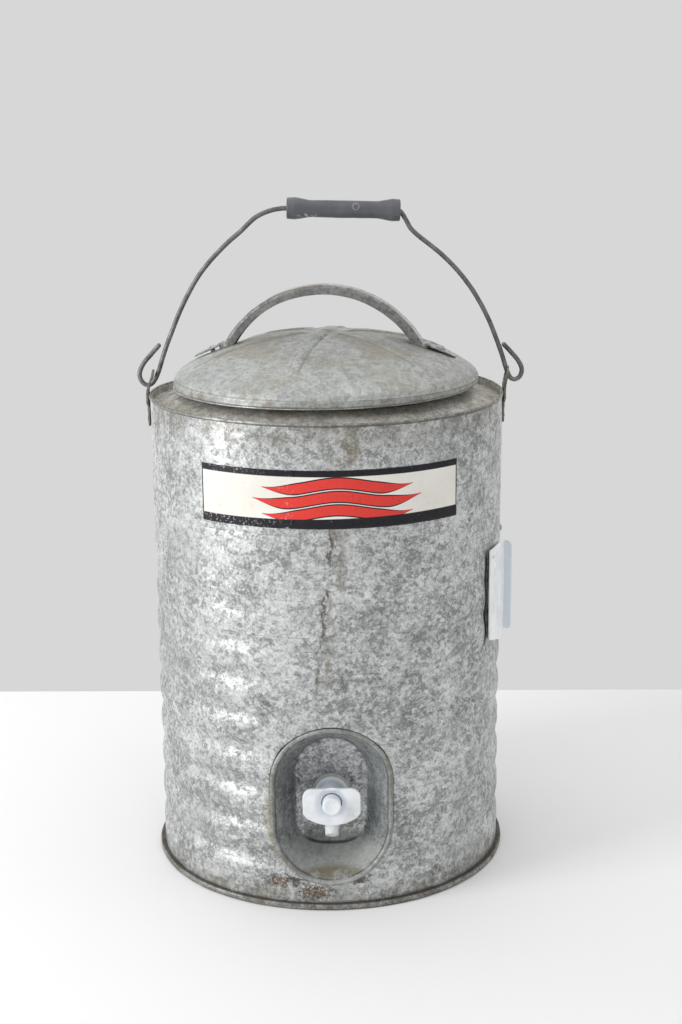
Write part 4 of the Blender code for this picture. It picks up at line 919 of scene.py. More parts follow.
def build_alcove():
    count = 208

    def on_shell(x, lift):
        return -math.sqrt((SHELL_R + lift) ** 2 - x * x)

    rings = []
    for grow, lift in ((LIP_OUT, 0.00002), (LIP_OUT - 0.0001, 0.0005), (0.0019, 0.0010), (0.0013, 0.0012),
                       (0.0007, 0.0010), (0.0001, 0.0004), (-0.0002, -0.0006)):
        outline = oval(ALCOVE_HALF_WIDE + grow, ALCOVE_HALF_TALL + grow, count)
        rings.append([(x, on_shell(x, lift), z + ALCOVE_Z) for x, z in outline])
    wall = softened([(0.0, 0.0), (0.965, 0.995, 0.10), (1.08, 1.0)], closed=False, steps=12)
    start_wide, start_tall = ALCOVE_HALF_WIDE - 0.0002, ALCOVE_HALF_TALL - 0.0002
    line = []
    for (a, b), (c, d) in zip(wall, wall[1:]):
        pieces = max(1, round(math.hypot(c - a, d - b) / 0.07))
        line += [(a + (c - a) * k / pieces, b + (d - b) * k / pieces) for k in range(1, pieces + 1)]
    for across, down in line:
        wide = start_wide + (FLOOR_HALF_WIDE - start_wide) * across
        tall = start_tall + (FLOOR_HALF_TALL - start_tall) * across
        ring = []
        for x, z in oval(wide, tall, count):
            straight = tall - wide
            if z < -straight:
                # the floor's lower end is squarer than a half circle
                square = 1.0 - 0.30 * across
                x = math.copysign(wide * (abs(x) / wide) ** square, x)
                z = -straight - wide * ((-straight - z) / wide) ** square
            y = on_shell(x, -0.0006)
            lumpy = 0.0005 * noise.noise(Vector((x, down * 0.04, z)) * 60.0) * math.sin(math.pi * min(down, 1.0))
            ring.append((x, y + (FLOOR_Y - y) * down + lumpy, z + ALCOVE_Z))
        rings.append(ring)
    last = rings[-1]
    hole = 0.0073
    for share in (0.25, 0.5, 0.75, 1.0):
        ring = []
        for x, y, z in last:
            spoke = Vector((x, z - SPIGOT_Z))
            target = spoke.normalized() * hole
            spot = spoke.lerp(target, share)
            ring.append((spot.x, FLOOR_Y, SPIGOT_Z + spot.y))
        rings.append(ring)
    verts = [v for ring in rings for v in ring]
    faces = grid_faces(len(rings), count)
    piece("alcove_dish", verts, faces, alcove_zinc, "cooler", ("alcove_pan",), thickness=SHEET,
          outwards=1.0, sharp=60.0)


# ---------------------------------------------------------------- label

def build_label():
    columns, rows = 220, 30
    low = math.atan2(label_low.x, SHELL_R)
    middle, half = math.radians(0.8), math.radians(42.6)
    z0, z1 = label_low.z, label_high.z
    verts, uvs = [], []
    for i in range(rows + 1):
        v = i / rows
        for j in range(columns + 1):
            u = j / columns
            ragged = 0.0003 * noise.noise(Vector((u * 60.0, v * 9.0, 2.0)))
            z = z0 + (z1 - z0) * v + (ragged if i in (0, rows) else 0.0)
            angle = middle - half + 2 * half * u - math.pi / 2
            radius = shell_radius(angle, z) + 0.00040
            verts.append((radius * math.cos(angle), radius * math.sin(angle), z))
            uvs.append((u, v))
    faces = grid_faces(rows + 1, columns + 1, around=False)
    obj = piece("front_label", verts, faces, label_print, "cooler", ("label",))
    layer = obj.data.uv_layers.new(name="print")
    for loop in obj.data.loops:
        x, y, z = obj.data.vertices[loop.vertex_index].co
        angle = math.atan2(y, x) + math.pi / 2 - middle
        layer.data[loop.index].uv = (angle / (2 * half) + 0.5, (z - z0) / (z1 - z0))
    skin = obj.modifiers.new("sheet", "SOLIDIFY")
    skin.thickness = 0.00025
    skin.offset = -1.0
    if obj.data.polygons[0].normal.y > 0:
        obj.data.flip_normals()


# ---------------------------------------------------------------- rivets, ears, bracket

def rivet(name, node, place, out, radius, head, material, body):
    """A domed head with a slightly hammered top, on a short shank that fills its hole."""
    seed = rng.uniform(0, 20)
    outline = softened([(0.00001, head, 0), (radius * 0.55, head * 0.92, radius * 0.5), (radius * 0.97, head * 0.28, radius * 0.2),
                        (radius, -0.0001, 0), (radius * 0.5, -0.0001, 0), (radius * 0.5, -0.0030, 0), (0.00001, -0.0030, 0)])

    def hammered(point):
        if point.z <= 0:
            return point
        return point * (1.0 + 0.06 * noise.noise(point * 700.0 + Vector((seed, 0, 0))))

    verts, faces = turned(outline, 40, warp=hammered)
    turn = Vector((0, 0, 1)).rotation_difference(Vector(out)).to_matrix().to_4x4()
    piece(name, verts, faces, material, body, (node,), place=Matrix.Translation(place) @ turn, sharp=50.0)


def plate(outline, hole, low, high, levels):
    """A flat plate from an outline in XY with an optional hole, cut across Y at each level, as (verts, faces)."""
    curve = bpy.data.curves.new("plate", "CURVE")
    curve.dimensions = "2D"
    curve.fill_mode = "BOTH"
    curve.extrude = (high - low) / 2
    for points in [outline] + ([hole] if hole else []):
        spline = curve.splines.new("POLY")
        spline.points.add(len(points) - 1)
        for point, (x, y) in zip(spline.points, points):
            point.co = (x, y, 0.0, 1.0)
        spline.use_cyclic_u = True
    guide = bpy.data.objects.new("plate", curve)
    bpy.context.scene.collection.objects.link(guide)
    bpy.context.view_layer.update()
    mesh = bpy.data.meshes.new_from_object(guide.evaluated_get(bpy.context.evaluated_depsgraph_get()))
    bpy.data.objects.remove(guide, do_unlink=True)
    bm = bmesh.new()
    bm.from_mesh(mesh)
    bmesh.ops.remove_doubles(bm, verts=bm.verts, dist=0.000005)
    for level in levels:
        geometry = bm.verts[:] + bm.edges[:] + bm.faces[:]
        bmesh.ops.bisect_plane(bm, geom=geometry, plane_co=(0, level, 0), plane_no=(0, 1, 0))
    bm.verts.index_update()
    verts = [v.co + Vector((0, 0, (low + high) / 2)) for v in bm.verts]
    faces = [tuple(v.index for v in f.verts) for f in bm.faces]
    bm.free()
    bpy.data.meshes.remove(mesh)
    return verts, faces


def step_up(value, low, high):
    share = min(max((value - low) / (high - low), 0.0), 1.0)
    return share * share * (3 - 2 * share)


def build_ears():
    """Joggled straps. Each has been bent a little to the right over its life, above the rim."""
    for side, name, lean in ((-1, "left", -0.0052), (1, "right", 0.0028)):
        low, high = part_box("ear_" + name)
        half = (high.y - low.y) / 2
        outline = softened([(-half, low.z, half * 0.45), (half, low.z, half * 0.45), (half, high.z, half * 0.995),
                            (-half, high.z, half * 0.995)], steps=14)
        eye = [(0.0048 * math.cos(a), PIVOT_Z + 0.0048 * math.sin(a)) for a in
               (2 * math.pi * k / 32 for k in range(32))]
        levels = [low.z + (high.z - low.z) * k / 26 for k in range(1, 26)]
        verts, faces = plate(outline, eye, 0.0, 0.0016, levels)
        base, proud = SHELL_R + 0.0003, SHELL_R + HEM_PROUD + 0.0003
        bent = []
        for v in verts:
            out = base + (proud - base) * step_up(v.y, RIM_Z - 0.0122, RIM_Z - 0.0078)
            out += lean * step_up(v.y, RIM_Z + 0.0002, high.z) if side > 0 else lean * step_up(v.y, RIM_Z - 0.001, high.z)
            bent.append(Vector((side * (out + v.z), side * v.x, v.y)))
        piece("ear_strap_" + name, bent, faces, ear_zinc_shaded, "cooler", ("ear_" + name,), bevel=0.00035)
        for number in (1, 2):
            r_low, r_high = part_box(f"ear_rivet_{name}_{number}")
            z = (r_low.z + r_high.z) / 2
            rivet(f"ear_stud_{name}_{number}", f"ear_rivet_{name}_{number}", (side * (base + 0.0016), 0, z), (side, 0, 0),
                  0.0029, 0.0013, ear_zinc_shaded, "cooler")


def build_bracket():
    """A folded plate: its web lies off the shell and its flange stands out at the back edge."""
    turn = math.radians(-23.0)
    face = SHELL_R + 0.0010
    sheet, front, back, flange = 0.0014, 0.0128, 0.0262, 0.0070
    low, high = 0.2060, bracket_high.z
    bend = 0.0014
    path = softened([(-front, 0.0), (back - sheet / 2, 0.0, bend), (back - sheet / 2, flange + sheet / 2)], closed=False,
                    steps=8)
    dense = []
    for (a, b), (c, d) in zip(path, path[1:]):
        parts = max(1, round(math.hypot(c - a, d - b) / 0.0012))
        dense += [(a + (c - a) * k / parts, b + (d - b) * k / parts) for k in range(parts)]
    dense.append(path[-1])
    rows = 60
    length = [0.0]
    for (a, b), (c, d) in zip(dense, dense[1:]):
        length.append(length[-1] + math.hypot(c - a, d - b))
    web = front + back

    def low_edge(s):
        lobe = 0.0092 * min(1.0, s / 0.034) * (1.0 - step_up(s, web - 0.0050, web - 0.0004))
        front_corner = 0.0018 - math.sqrt(max(0.0, 0.0018 ** 2 - max(0.0, 0.0018 - s) ** 2))
        outer = max(0.0, s - (length[-1] - 0.0022))
        return low - lobe + front_corner + 0.0022 - math.sqrt(max(0.0, 0.0022 ** 2 - outer ** 2))

    def high_edge(s):
        front_corner = 0.0018 - math.sqrt(max(0.0, 0.0018 ** 2 - max(0.0, 0.0018 - s) ** 2))
        outer = max(0.0, s - (length[-1] - 0.0045))
        return high - front_corner - (0.0045 - math.sqrt(max(0.0, 0.0045 ** 2 - outer ** 2)))

    stand = facing(turn)
    verts = []
    for i in range(rows + 1):
        for (along, out), s in zip(dense, length):
            z = low_edge(s) + (high_edge(s) - low_edge(s)) * i / rows
            dent = 0.0004 * noise.noise(Vector((along, out, z)) * 45.0)
            verts.append(stand @ Vector((along, z, face + sheet / 2 + out + dent * 0.5)))
    faces = grid_faces(rows + 1, len(dense), around=False)
    piece("bracket_plate", verts, faces, white_enamel, "cooler", ("side_bracket",), thickness=sheet,
          outwards=0.0, bevel=0.00035, sharp=35.0)
    out = stand.to_3x3() @ Vector((0, 0, 1))
    for number in (1, 2):
        r_low, r_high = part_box(f"bracket_rivet_{number}")
        z = (r_low.z + r_high.z) / 2
        rivet(f"bracket_stud_{number}", f"bracket_rivet_{number}", out * (face + sheet) + Vector((0, 0, z)), out, 0.0029,
              0.0014, white_enamel, "cooler")
    r_low, r_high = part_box("shell_rivet")
    turn = math.radians(-9.5)
    out = Vector((math.cos(turn), math.sin(turn), 0))
    z = (r_low.z + r_high.z) / 2
    rivet("shell_stud", "shell_rivet", out * SHELL_R + Vector((0, 0, z)), out, 0.0030, 0.0016, plain_zinc, "cooler")


# ---------------------------------------------------------------- lid

lid_place = Matrix.Rotation(LID_TURN, 4, "Z")
lid_tilt = (Matrix.Translation((-LID_R, 0, SKIRT_Z + 0.0012)) @ Matrix.Rotation(LID_TILT, 4, "Y")
            @ Matrix.Translation((LID_R, 0, -SKIRT_Z)))


def dome_z(radius):
    """Height of the dome: full at its shoulder, flatter towards the top."""
    return SKIRT_Z + SKIRT_TALL + LID_RISE * max(0.0, 1.0 - (radius / LID_R) ** 2) ** 0.74


def lid_surface(x, y):
    """Height of the lid's skin: dome, boss, six pressed ribs, dents."""
    radius = math.hypot(x, y)
    z = dome_z(min(radius, LID_R))
    z += 0.0022 * (1.0 - step_up(radius, 0.0062, 0.0105))
    rib = 0.0
    for angle in RIB_ANGLES:
        along = x * math.cos(angle) + y * math.sin(angle)
        across = -x * math.sin(angle) + y * math.cos(angle)
        if along > 0:
            width = 0.0058 - 0.026 * along
            reach = step_up(along, 0.012, 0.024) * (1.0 - step_up(along, 0.098, 0.112))
            rib = max(rib, (1.0 - step_up(abs(across), width - 0.0004, width + 0.0010)) * reach)
    z += 0.0015 * rib
    fade = 1.0 - step_up(radius, 0.118, 0.128)
    spot = Vector((x, y, 0.0))
    z += fade * (0.0009 * noise.noise(spot * 18.0 + Vector((3, 1, 0))) + 0.00045 * noise.noise(spot * 70.0))
    for dx, dy, size, depth in ((-0.055, -0.070, 0.020, -0.0022), (0.045, -0.085, 0.024, -0.0020),
                                (0.085, -0.020, 0.018, -0.0016), (-0.090, 0.010, 0.016, -0.0014),
                                (0.010, 0.075, 0.024, -0.0018), (-0.020, -0.100, 0.012, -0.0012)):
        z += fade * depth * math.exp(-((x - dx) ** 2 + (y - dy) ** 2) / size ** 2)
    return z


def build_lid():
    segments, rings = 288, 66
    verts = []
    radii = [0.0006 + (LID_R - 0.0012 - 0.0006) * (i / (rings - 1)) for i in range(rings)]
    for radius in radii:
        for j in range(segments):
            angle = 2 * math.pi * j / segments
            x, y = radius * math.cos(angle), radius * math.sin(angle)
            verts.append(Vector((x, y, lid_surface(x, y))))
    edge_z = dome_z(LID_R)
    skirt = [(LID_R - 0.0005, edge_z - 0.0003), (LID_R - 0.0002, edge_z - 0.0008), (LID_R + 0.0003, edge_z - 0.0012),
             (LID_R + 0.0004, edge_z - 0.0020), (LID_R + 0.0001, SKIRT_Z + 0.0014), (LID_R + 0.0003, SKIRT_Z + 0.0008),
             (LID_R + 0.0001, SKIRT_Z + 0.0002), (LID_R - 0.0005, SKIRT_Z - 0.0001)]
    for radius, z in skirt:
        for j in range(segments):
            angle = 2 * math.pi * j / segments
            out = 0.0005 * noise.noise(Vector((math.cos(angle), math.sin(angle), 0.1)) * 6.0)
            sag = 0.0006 * noise.noise(Vector((math.cos(angle), math.sin(angle), 0.7)) * 4.0)
            verts.append(Vector(((radius + out) * math.cos(angle), (radius + out) * math.sin(angle), z + sag)))
    faces = grid_faces(rings + len(skirt), segments)
    faces.append(tuple(range(segments)))
    place = lid_tilt @ lid_place
    piece("lid_cover", verts, faces, lid_zinc, "lid", ("lid_shell",), thickness=SHEET, outwards=-1.0,
          sharp=60.0, place=place)

    edge = LID_R + 0.0004
    rest, deep = lid_pan_low.z + 0.026, lid_pan_low.z
    plug = 0.1030
    pan = softened([(0.0001, deep), (plug, deep, 0.0040), (plug, rest, 0.0015), (edge, rest, 0.0006),
                    (edge, SKIRT_Z - 0.0006, 0.0005), (edge - 0.0016, SKIRT_Z - 0.0006), (edge - 0.0016, rest + SHEET, 0.0003),
                    (plug - SHEET, rest + SHEET, 0.0012), (plug - SHEET, deep + SHEET, 0.0034), (0.0001, deep + SHEET)])
    verts, faces = turned(pan, 224)
    aside = Matrix.Translation((-0.0012, -0.0002, 0))
    piece("lid_underpan", verts, faces, tank_zinc, "lid", ("lid_pan",), place=place @ aside,
          sharp=35.0)


def build_lid_handle():
    """A channel bent into an arch: its flanges fade out into two flat feet that lie on the dome."""
    arch_r, top = 0.0976, 0.4975
    centre, aside = top - arch_r, -0.0012
    half_angle = math.radians(60.5)
    foot_end = 0.1125
    line = []
    for i in range(49):
        angle = -half_angle + 2 * half_angle * i / 48
        line.append((arch_r * math.sin(angle), centre + arch_r * math.cos(angle)))
    join = line[-1]

    def foot_height(x):
        return dome_z(x) + 0.0028

    right = []
    knee = [(join[0], join[1]), (0.0890, foot_height(0.0890) + 0.0016), (0.0922, foot_height(0.0922) + 0.0001),
            (0.0975, foot_height(0.0975)), (0.1045, foot_height(0.1045)), (foot_end, foot_height(foot_end))]
    for spot in smooth_line([(x, z, 0) for x, z in [line[-2]] + knee], 7)[8:]:
        right.append((spot.x, spot.y))
    path = [(-x, z) for x, z in right[::-1]] + line + right
    half = 0.0080
    sheet = 0.0014
    steps = 9
    verts = []
    for i, (x, z) in enumerate(path):
        before, after = path[max(i - 1, 0)], path[min(i + 1, len(path) - 1)]
        along = Vector((after[0] - before[0], 0, after[1] - before[1])).normalized()
        up = Vector((-along.z, 0, along.x))
        foot = step_up(abs(x), 0.0868, 0.0915)
        flange = 0.0072 * (1.0 - foot)
        wide = half + 0.0006 * foot
        end = max(0.0, (abs(x) - (foot_end - 0.0085)) / 0.0085)
        wide *= math.sqrt(max(0.0, 1.0 - end * end)) if end < 1 else 0.02
        corner = min(0.0024, max(flange, 0.0003))
        section = []
        for k in range(steps + 1):
            section.append((-wide, -flange + (flange - corner) * k / steps if flange > corner else -corner))
        for k in range(1, 7):
            angle = math.pi / 2 * k / 6
            section.append((-wide + corner * (1 - math.cos(angle)), -corner + corner * math.sin(angle)))
        inner = wide - corner
        for k in range(1, 9):
            section.append((-inner + 2 * inner * k / 8, 0.0))
        for k in range(1, 7):
            angle = math.pi / 2 * k / 6
            section.append((wide - corner * (1 - math.sin(angle)), -corner + corner * math.cos(angle)))
        for k in range(1, steps + 1):
            section.append((wide, -corner - (flange - corner) * k / steps if flange > corner else -corner - 0.00002 * k))
        for across, drop in section:
            wobble = 0.0003 * noise.noise(Vector((x, across, z)) * 50.0)
            verts.append(Vector((x + aside, across, z)) + up * (drop + wobble))
    columns = len(verts) // len(path)
    faces = grid_faces(len(path), columns, around=False)
    place = lid_tilt @ lid_place
    obj = piece("lid_arch", verts, faces, arch_zinc, "lid", ("lid_handle",), thickness=sheet,
                outwards=0.0, sharp=45.0, place=place, even=False)
    for side, name in ((-1, "left"), (1, "right")):
        x = 0.0985
        slope = math.atan2(dome_z(x - 0.004) - dome_z(x + 0.004), 0.008)
        out = Matrix.Rotation(side * slope, 4, "Y") @ Vector((0, 0, 1))
        spot = Vector((side * x, 0, dome_z(x) + 0.0034))
        rivet(f"arch_stud_{name}", f"handle_rivet_{name}", place @ spot, (place.to_3x3() @ out), 0.0042, 0.0020,
              arch_zinc, "lid")


# ---------------------------------------------------------------- bail

def tube(name, line, radius, material, body, stands_for, around=16):
    """A round wire along a line, with rounded ends."""
    line = [Vector(p) for p in line]
    verts = []
    normal = Vector((0, 1, 0))
    count = len(line)
    ends = 4
    stations = []
    for i, spot in enumerate(line):
        along = (line[min(i + 1, count - 1)] - line[max(i - 1, 0)]).normalized()
        stations.append((spot, along, 1.0))
    for k in range(1, ends + 1):
        angle = math.pi / 2 * k / ends
        shrink = max(math.cos(angle), 0.02)
        spot, along, _ = stations[0] if k == 1 else first
        first = (spot, along, 1.0)
        stations.insert(0, (line[0] - along * radius * math.sin(angle), along, shrink))
        stations.append((line[-1] + stations[-1][1] * 0.0, stations[-1][1], stations[-1][2]))
        stations.pop()
    last_along = stations[-1][1]
    for k in range(1, ends + 1):
        angle = math.pi / 2 * k / ends
        stations.append((line[-1] + last_along * radius * math.sin(angle), last_along, max(math.cos(angle), 0.02)))
    for spot, along, size in stations:
        side = along.cross(normal).normalized()
        for j in range(around):
            angle = 2 * math.pi * j / around
            pit = 1.0 + 0.03 * noise.noise(spot * 220.0 + Vector((j * 0.7, 0, 0)))
            verts.append(spot + (side * math.cos(angle) + normal * math.sin(angle)) * radius * size * pit)
    faces = grid_faces(len(stations), around)
    faces.append(tuple(range(around)))
    faces.append(tuple(range(len(verts) - around, len(verts))))
    return piece(name, verts, faces, material, body, stands_for, sharp=60.0)


def build_bail():
    grip_mid = (grip_low + grip_high) / 2
    slope = math.tan(BAIL_LEAN)
    top = grip_mid.z

    def grip_line(x):
        return top - (x - grip_mid.x) * slope

    right = [(0.0560, grip_line(0.0560)), (0.0620, grip_line(0.0620) - 0.0001), (0.0652, 0.5590), (0.0685, 0.5535),
             (0.0728, 0.5462), (0.0800, 0.5395), (0.0900, 0.5318), (0.1004, 0.5230), (0.1120, 0.5112), (0.1226, 0.4978),
             (0.1310, 0.4845), (0.1388, 0.4695), (0.1450, 0.4545), (0.1505, 0.4395), (0.1545, 0.4270), (0.1578, 0.4196),
             (0.1622, 0.4176), (0.1665, 0.4205), (0.1678, 0.4268), (0.1645, 0.4340), (0.1583, 0.4413), (0.1522, 0.4478)]
    left = [(-0.0200, grip_line(-0.0200)), (-0.0300, grip_line(-0.0300)), (-0.0370, 0.5640), (-0.0460, 0.5622),
            (-0.0560, 0.5580), (-0.0630, 0.5525), (-0.0700, 0.5458), (-0.0800, 0.5375), (-0.0895, 0.5285),
            (-0.0980, 0.5195), (-0.1060, 0.5095), (-0.1130, 0.4985), (-0.1193, 0.4870), (-0.1253, 0.4745),
            (-0.1305, 0.4620), (-0.1350, 0.4510), (-0.1390, 0.4400), (-0.1428, 0.4285), (-0.1462, 0.4210),
            (-0.1500, 0.4168), (-0.1545, 0.4165), (-0.1583, 0.4205), (-0.1593, 0.4265), (-0.1558, 0.4345),
            (-0.1492, 0.4422), (-0.1422, 0.4500)]
    control = [(x, 0, z) for x, z in left[::-1]] + [(x, 0, z) for x, z in right]
    line = smooth_line(control, 8)
    tube("bail_rod", line, WIRE_R, wire_steel, "bail", ("bail_wire",))

    half = (grip_high.x - grip_low.x) / 2
    end, waist, bore = 0.0094, 0.0071, 0.0024
    outline = softened([(bore, half - 0.0020, 0.0004), (bore + 0.0012, half - 0.0006, 0.0006), (end - 0.0004, half, 0.0012),
                        (end, half - 0.0070, 0.006), (end - 0.0006, half - 0.0100, 0.004), (waist, half - 0.0190, 0.02),
                        (waist + 0.0002, 0.0), (waist, -half + 0.0190, 0.02), (end - 0.0006, -half + 0.0100, 0.004),
                        (end - 0.0002, -half + 0.0070, 0.006), (end - 0.0006, -half, 0.0012),
                        (bore + 0.0012, -half + 0.0006, 0.0006), (bore, -half + 0.0020, 0.0004)], steps=8)

    def worn(point):
        out = Vector((point.x, point.y, 0))
        return point + out * (0.020 * noise.noise(point * 90.0) + 0.006 * noise.noise(point * 400.0))

    dense = []
    for (a, b), (c, d) in zip(outline, outline[1:] + outline[:1]):
        parts = max(1, round(math.hypot(c - a, d - b) / 0.0016))
        dense += [(a + (c - a) * k / parts, b + (d - b) * k / parts) for k in range(parts)]
    verts, faces = turned(dense, 64, warp=worn)
    place = (Matrix.Translation(grip_mid) @ Matrix.Rotation(BAIL_LEAN, 4, "Y")
             @ Matrix.Rotation(math.pi / 2, 4, "Y"))
    piece("grip_sleeve", verts, faces, grip_plastic, "grip", ("bail_grip",), place=place, sharp=50.0)


# ---------------------------------------------------------------- spigot

def about_y(radius_y, count=96, closed=True):
    """Vertices and faces of an (r, y) profile turned about the spigot's axis."""
    verts = []
    for r, y in radius_y:
        for j in range(count):
            angle = 2 * math.pi * j / count
            verts.append((r * math.cos(angle), y, SPIGOT_Z + r * math.sin(angle)))
    return verts, grid_faces(len(radius_y), count, ends=closed)


def build_spigot():
    wing_y = button_low.y + 0.0067
    thick, bore_r, barrel_r = 0.0032, 0.0083, 0.0105
    half, up, down, corner, sag = 0.0240, 0.0130, 0.0195, 0.0080, 0.0065
    bow = ((half - 0.003) ** 2 + sag ** 2) / (2 * sag)
    reach = math.asin((half - 0.003) / bow)
    arc = [(bow * math.sin(-reach + 2 * reach * i / 24), -down + bow * (1 - math.cos(-reach + 2 * reach * i / 24)), 0)
           for i in range(25)]
    corners = ([(half, up, corner), (-half, up, corner), (-half, -down + sag + 0.004, 0.004)] + arc
               + [(half, -down + sag + 0.004, 0.004)])
    outline = [Vector(p) for p in softened(corners, steps=10)]

    def edge_at(angle):
        """Distance from the axis to the outline along a direction."""
        spoke = Vector((math.cos(angle), math.sin(angle)))
        best = 0.0
        for a, b in zip(outline, outline[1:] + outline[:1]):
            side = b - a
            cross = spoke.x * side.y - spoke.y * side.x
            if abs(cross) < 1e-12:
                continue
            t = (a.x * side.y - a.y * side.x) / cross
            s = (a.x * spoke.y - a.y * spoke.x) / cross
            if t > 0 and -1e-6 <= s <= 1 + 1e-6:
                best = max(best, t)
        return best

    count = 160
    reaches = [edge_at(2 * math.pi * j / count) for j in range(count)]
    dish_r, dish_deep = 0.0142, 0.0026
    stations = []
    for k in range(5):
        stations.append(("round", bore_r + (dish_r - bore_r) * k / 4, dish_deep * (1 - k / 4) ** 0.9))
    for k in range(1, 9):
        stations.append(("out", k / 8, 0.0))
    verts = []
    fillet = 0.0009
    for kind, size, depth in stations:
        for j in range(count):
            angle = 2 * math.pi * j / count
            rim = reaches[j] - fillet
            r = size if kind == "round" else dish_r + (rim - dish_r) * size
            crown = 0.0004 * (r / 0.024) ** 2
            verts.append((r * math.cos(angle), wing_y + depth + crown, SPIGOT_Z + r * math.sin(angle)))
    for k in range(1, 6):
        turn = math.pi / 2 * k / 5
        for j in range(count):
            angle = 2 * math.pi * j / count
            r = reaches[j] - fillet + fillet * math.sin(turn)
            crown = 0.0004 * (r / 0.024) ** 2
            verts.append((r * math.cos(angle), wing_y + crown + fillet * (1 - math.cos(turn)), SPIGOT_Z + r * math.sin(angle)))
    for k in range(0, 5):
        turn = math.pi / 2 * k / 4
        for j in range(count):
            angle = 2 * math.pi * j / count
            r = reaches[j] - 0.0006 * (1 - math.cos(turn))
            verts.append((r * math.cos(angle), wing_y + thick - 0.0006 * (1 - math.sin(turn)), SPIGOT_Z + r * math.sin(angle)))
    barrel = [(barrel_r + 0.0012, wing_y + thick), (barrel_r + 0.0003, wing_y + thick + 0.0004),
              (barrel_r, wing_y + thick + 0.0012), (barrel_r, FLOOR_Y - 0.0074), (barrel_r + 0.0006, FLOOR_Y - 0.0064),
              (0.0136, FLOOR_Y - 0.0061), (0.0140, FLOOR_Y - 0.0057), (0.0140, FLOOR_Y - 0.0031), (0.0068, FLOOR_Y - 0.0031),
              (0.0068, body_high.y), (0.0048, body_high.y), (0.0048, wing_y + 0.026), (bore_r, wing_y + 0.026),
              (bore_r, wing_y + 0.010)]
    rings = len(verts) // count
    for r, y in barrel:
        for j in range(count):
            angle = 2 * math.pi * j / count
            verts.append((r * math.cos(angle), y, SPIGOT_Z + r * math.sin(angle)))
    rings += len(barrel)
    faces = grid_faces(rings, count, ends=True)
    piece("spigot_wing", verts, faces, wing_plastic, "cooler", ("spigot_body",), sharp=38.0)

    spout_y = wing_y + 0.0092
    tip = SPIGOT_Z - 0.0360
    cut = math.tan(math.radians(35.0))
    outer, inner = 0.0057, 0.0042
    rows = []
    for r, level, slanted in ((outer, SPIGOT_Z - 0.0060, False), (outer + 0.0004, SPIGOT_Z - 0.0092, False),
                              (outer, SPIGOT_Z - 0.0112, False), (outer, SPIGOT_Z - 0.0240, False),
                              (outer, 0.0006, True), (outer - 0.0003, 0.0002, True), (outer - 0.0006, 0.0, True),
                              (inner + 0.0003, 0.0, True), (inner, 0.0004, True), (inner, SPIGOT_Z - 0.0120, False),
                              (inner, SPIGOT_Z - 0.0080, False)):
        ring = []
        for j in range(64):
            angle = 2 * math.pi * j / 64
            x, y = r * math.cos(angle), r * math.sin(angle)
            z = tip + (outer - y) * cut + level if slanted else level
            ring.append((x, spout_y + y, z))
        rows += ring
    piece("spigot_spout", rows, grid_faces(11, 64, ends=True), white_plastic, "cooler",
          ("spigot_body",), sharp=50.0)

    front, back = button_low.y, button_high.y
    face = [(0.00005, front + 0.0006), (0.0035, front + 0.00045), (0.0054, front + 0.0001), (0.0066, front + 0.0001),
            (0.0073, front + 0.0004), (0.0077, front + 0.0012), (0.0077, back - 0.0006), (0.0072, back), (0.00005, back)]
    verts, faces = about_y(softened([(r, y, 0.0004) for r, y in face[:-1]] + [face[-1]], steps=4), 96)
    piece("push_button", verts, faces, white_plastic, "button", ("button",), sharp=45.0)

    ring = [(0.0071, gasket_low.y), (0.0149, gasket_low.y), (0.0156, gasket_low.y + 0.0008), (0.0154, gasket_high.y - 0.0004),
            (0.0150, gasket_high.y), (0.0071, gasket_high.y)]
    verts, faces = about_y(softened([(r, y, 0.0003) for r, y in ring], steps=3), 96)
    piece("spigot_gasket", verts, faces, seal_rubber, "cooler", ("outer_gasket",), sharp=40.0)


build_shell()
build_base()
build_tank()
build_alcove()
build_label()
build_ears()
build_bracket()
build_lid()
build_lid_handle()
build_bail()
build_spigot()

for name, material in (("wall_insulation", foam), ("base_insulation", foam), ("lid_insulation", foam),
                       ("spacer", seal_rubber), ("tank_washer", seal_rubber), ("valve_seal", seal_rubber),
                       ("shank_nut", white_plastic), ("valve_stem", white_plastic), ("return_spring", wire_steel)):
    nodes[name].data.materials.clear()
    nodes[name].data.materials.append(material)


# ---------------------------------------------------------------- stage, lights, camera

def flat(name, corners, color):
    mesh = bpy.data.meshes.new(name)
    mesh.from_pydata(corners, [], [tuple(range(len(corners)))])
    obj = bpy.data.objects.new(name, mesh)
    bpy.context.scene.collection.objects.link(obj)
    finish = Finish(name + "_paint", roughness=0.6, specular=0.3)
    tone = finish.ramp(finish.noise(1.5, 2.0, 0.5), [(0.3, tuple(c * 0.985 for c in color)), (0.7, color)])
    mesh.materials.append(finish.done(tone))
    return obj


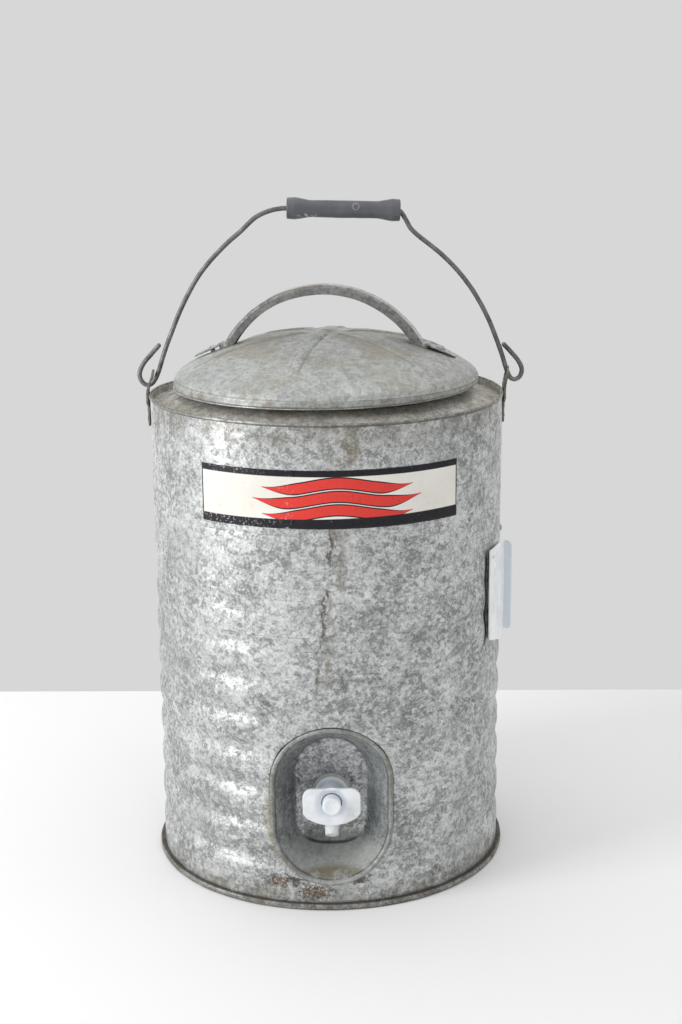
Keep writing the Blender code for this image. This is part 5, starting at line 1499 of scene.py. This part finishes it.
TABLE_BACK = 0.376
TABLE_SKEW = 0.0306
flat("floor", [(-4, -4, 0), (4, -4, 0), (4, TABLE_BACK - 4 * TABLE_SKEW, 0), (-4, TABLE_BACK + 4 * TABLE_SKEW, 0)],
     (0.84, 0.84, 0.84))
backdrop = flat("wall", [(-4, 0.56, -1.5), (4, 0.56, -1.5), (4, 0.56, 3.5), (-4, 0.56, 3.5)],
                (0.88, 0.88, 0.88))
# it stands nearer than a camera behind the object does, so it only bounces light
backdrop.visible_camera = False


def area(name, place, target, size, power, color=(1, 1, 1)):
    light = bpy.data.lights.new(name, "AREA")
    light.shape = "RECTANGLE"
    light.size, light.size_y = size
    light.energy = power
    light.color = color
    obj = bpy.data.objects.new(name, light)
    bpy.context.scene.collection.objects.link(obj)
    obj.location = place
    obj.rotation_euler = (Vector(target) - Vector(place)).to_track_quat("-Z", "Y").to_euler()


area("window", (-1.90, -0.95, 0.95), (0, 0, 0.25), (0.8, 1.7), 29)
area("ceiling", (0.3, -0.2, 2.5), (0.1, 0.1, 0), (2.6, 2.2), 18)

world = bpy.data.worlds.new("studio")
bpy.context.scene.world = world
world.use_nodes = True
sky = world.node_tree
ambient = sky.nodes["Background"]
ambient.inputs["Color"].default_value = (1.0, 1.0, 1.0, 1.0)
ambient.inputs["Strength"].default_value = 0.68

camera = bpy.data.objects.new("camera", bpy.data.cameras.new("camera"))
bpy.context.scene.collection.objects.link(camera)
camera.data.lens = 59.48
camera.data.sensor_width = 36.0
camera.data.clip_start = 0.05
turn, pitch, roll = math.radians(0.81), math.radians(13.986), math.radians(-0.507)
forward = Vector((math.sin(turn) * math.cos(pitch), math.cos(turn) * math.cos(pitch), -math.sin(pitch)))
level = forward.cross(Vector((0, 0, 1))).normalized()
upward = level.cross(forward)
right = level * math.cos(roll) + upward * math.sin(roll)
up = upward * math.cos(roll) - level * math.sin(roll)
camera.matrix_world = (Matrix.Translation((-0.0085, -1.4348, 0.6593))
                       @ Matrix((right, up, -forward)).transposed().to_4x4())
bpy.context.scene.camera = camera
bpy.context.scene.view_settings.view_transform = "Standard"
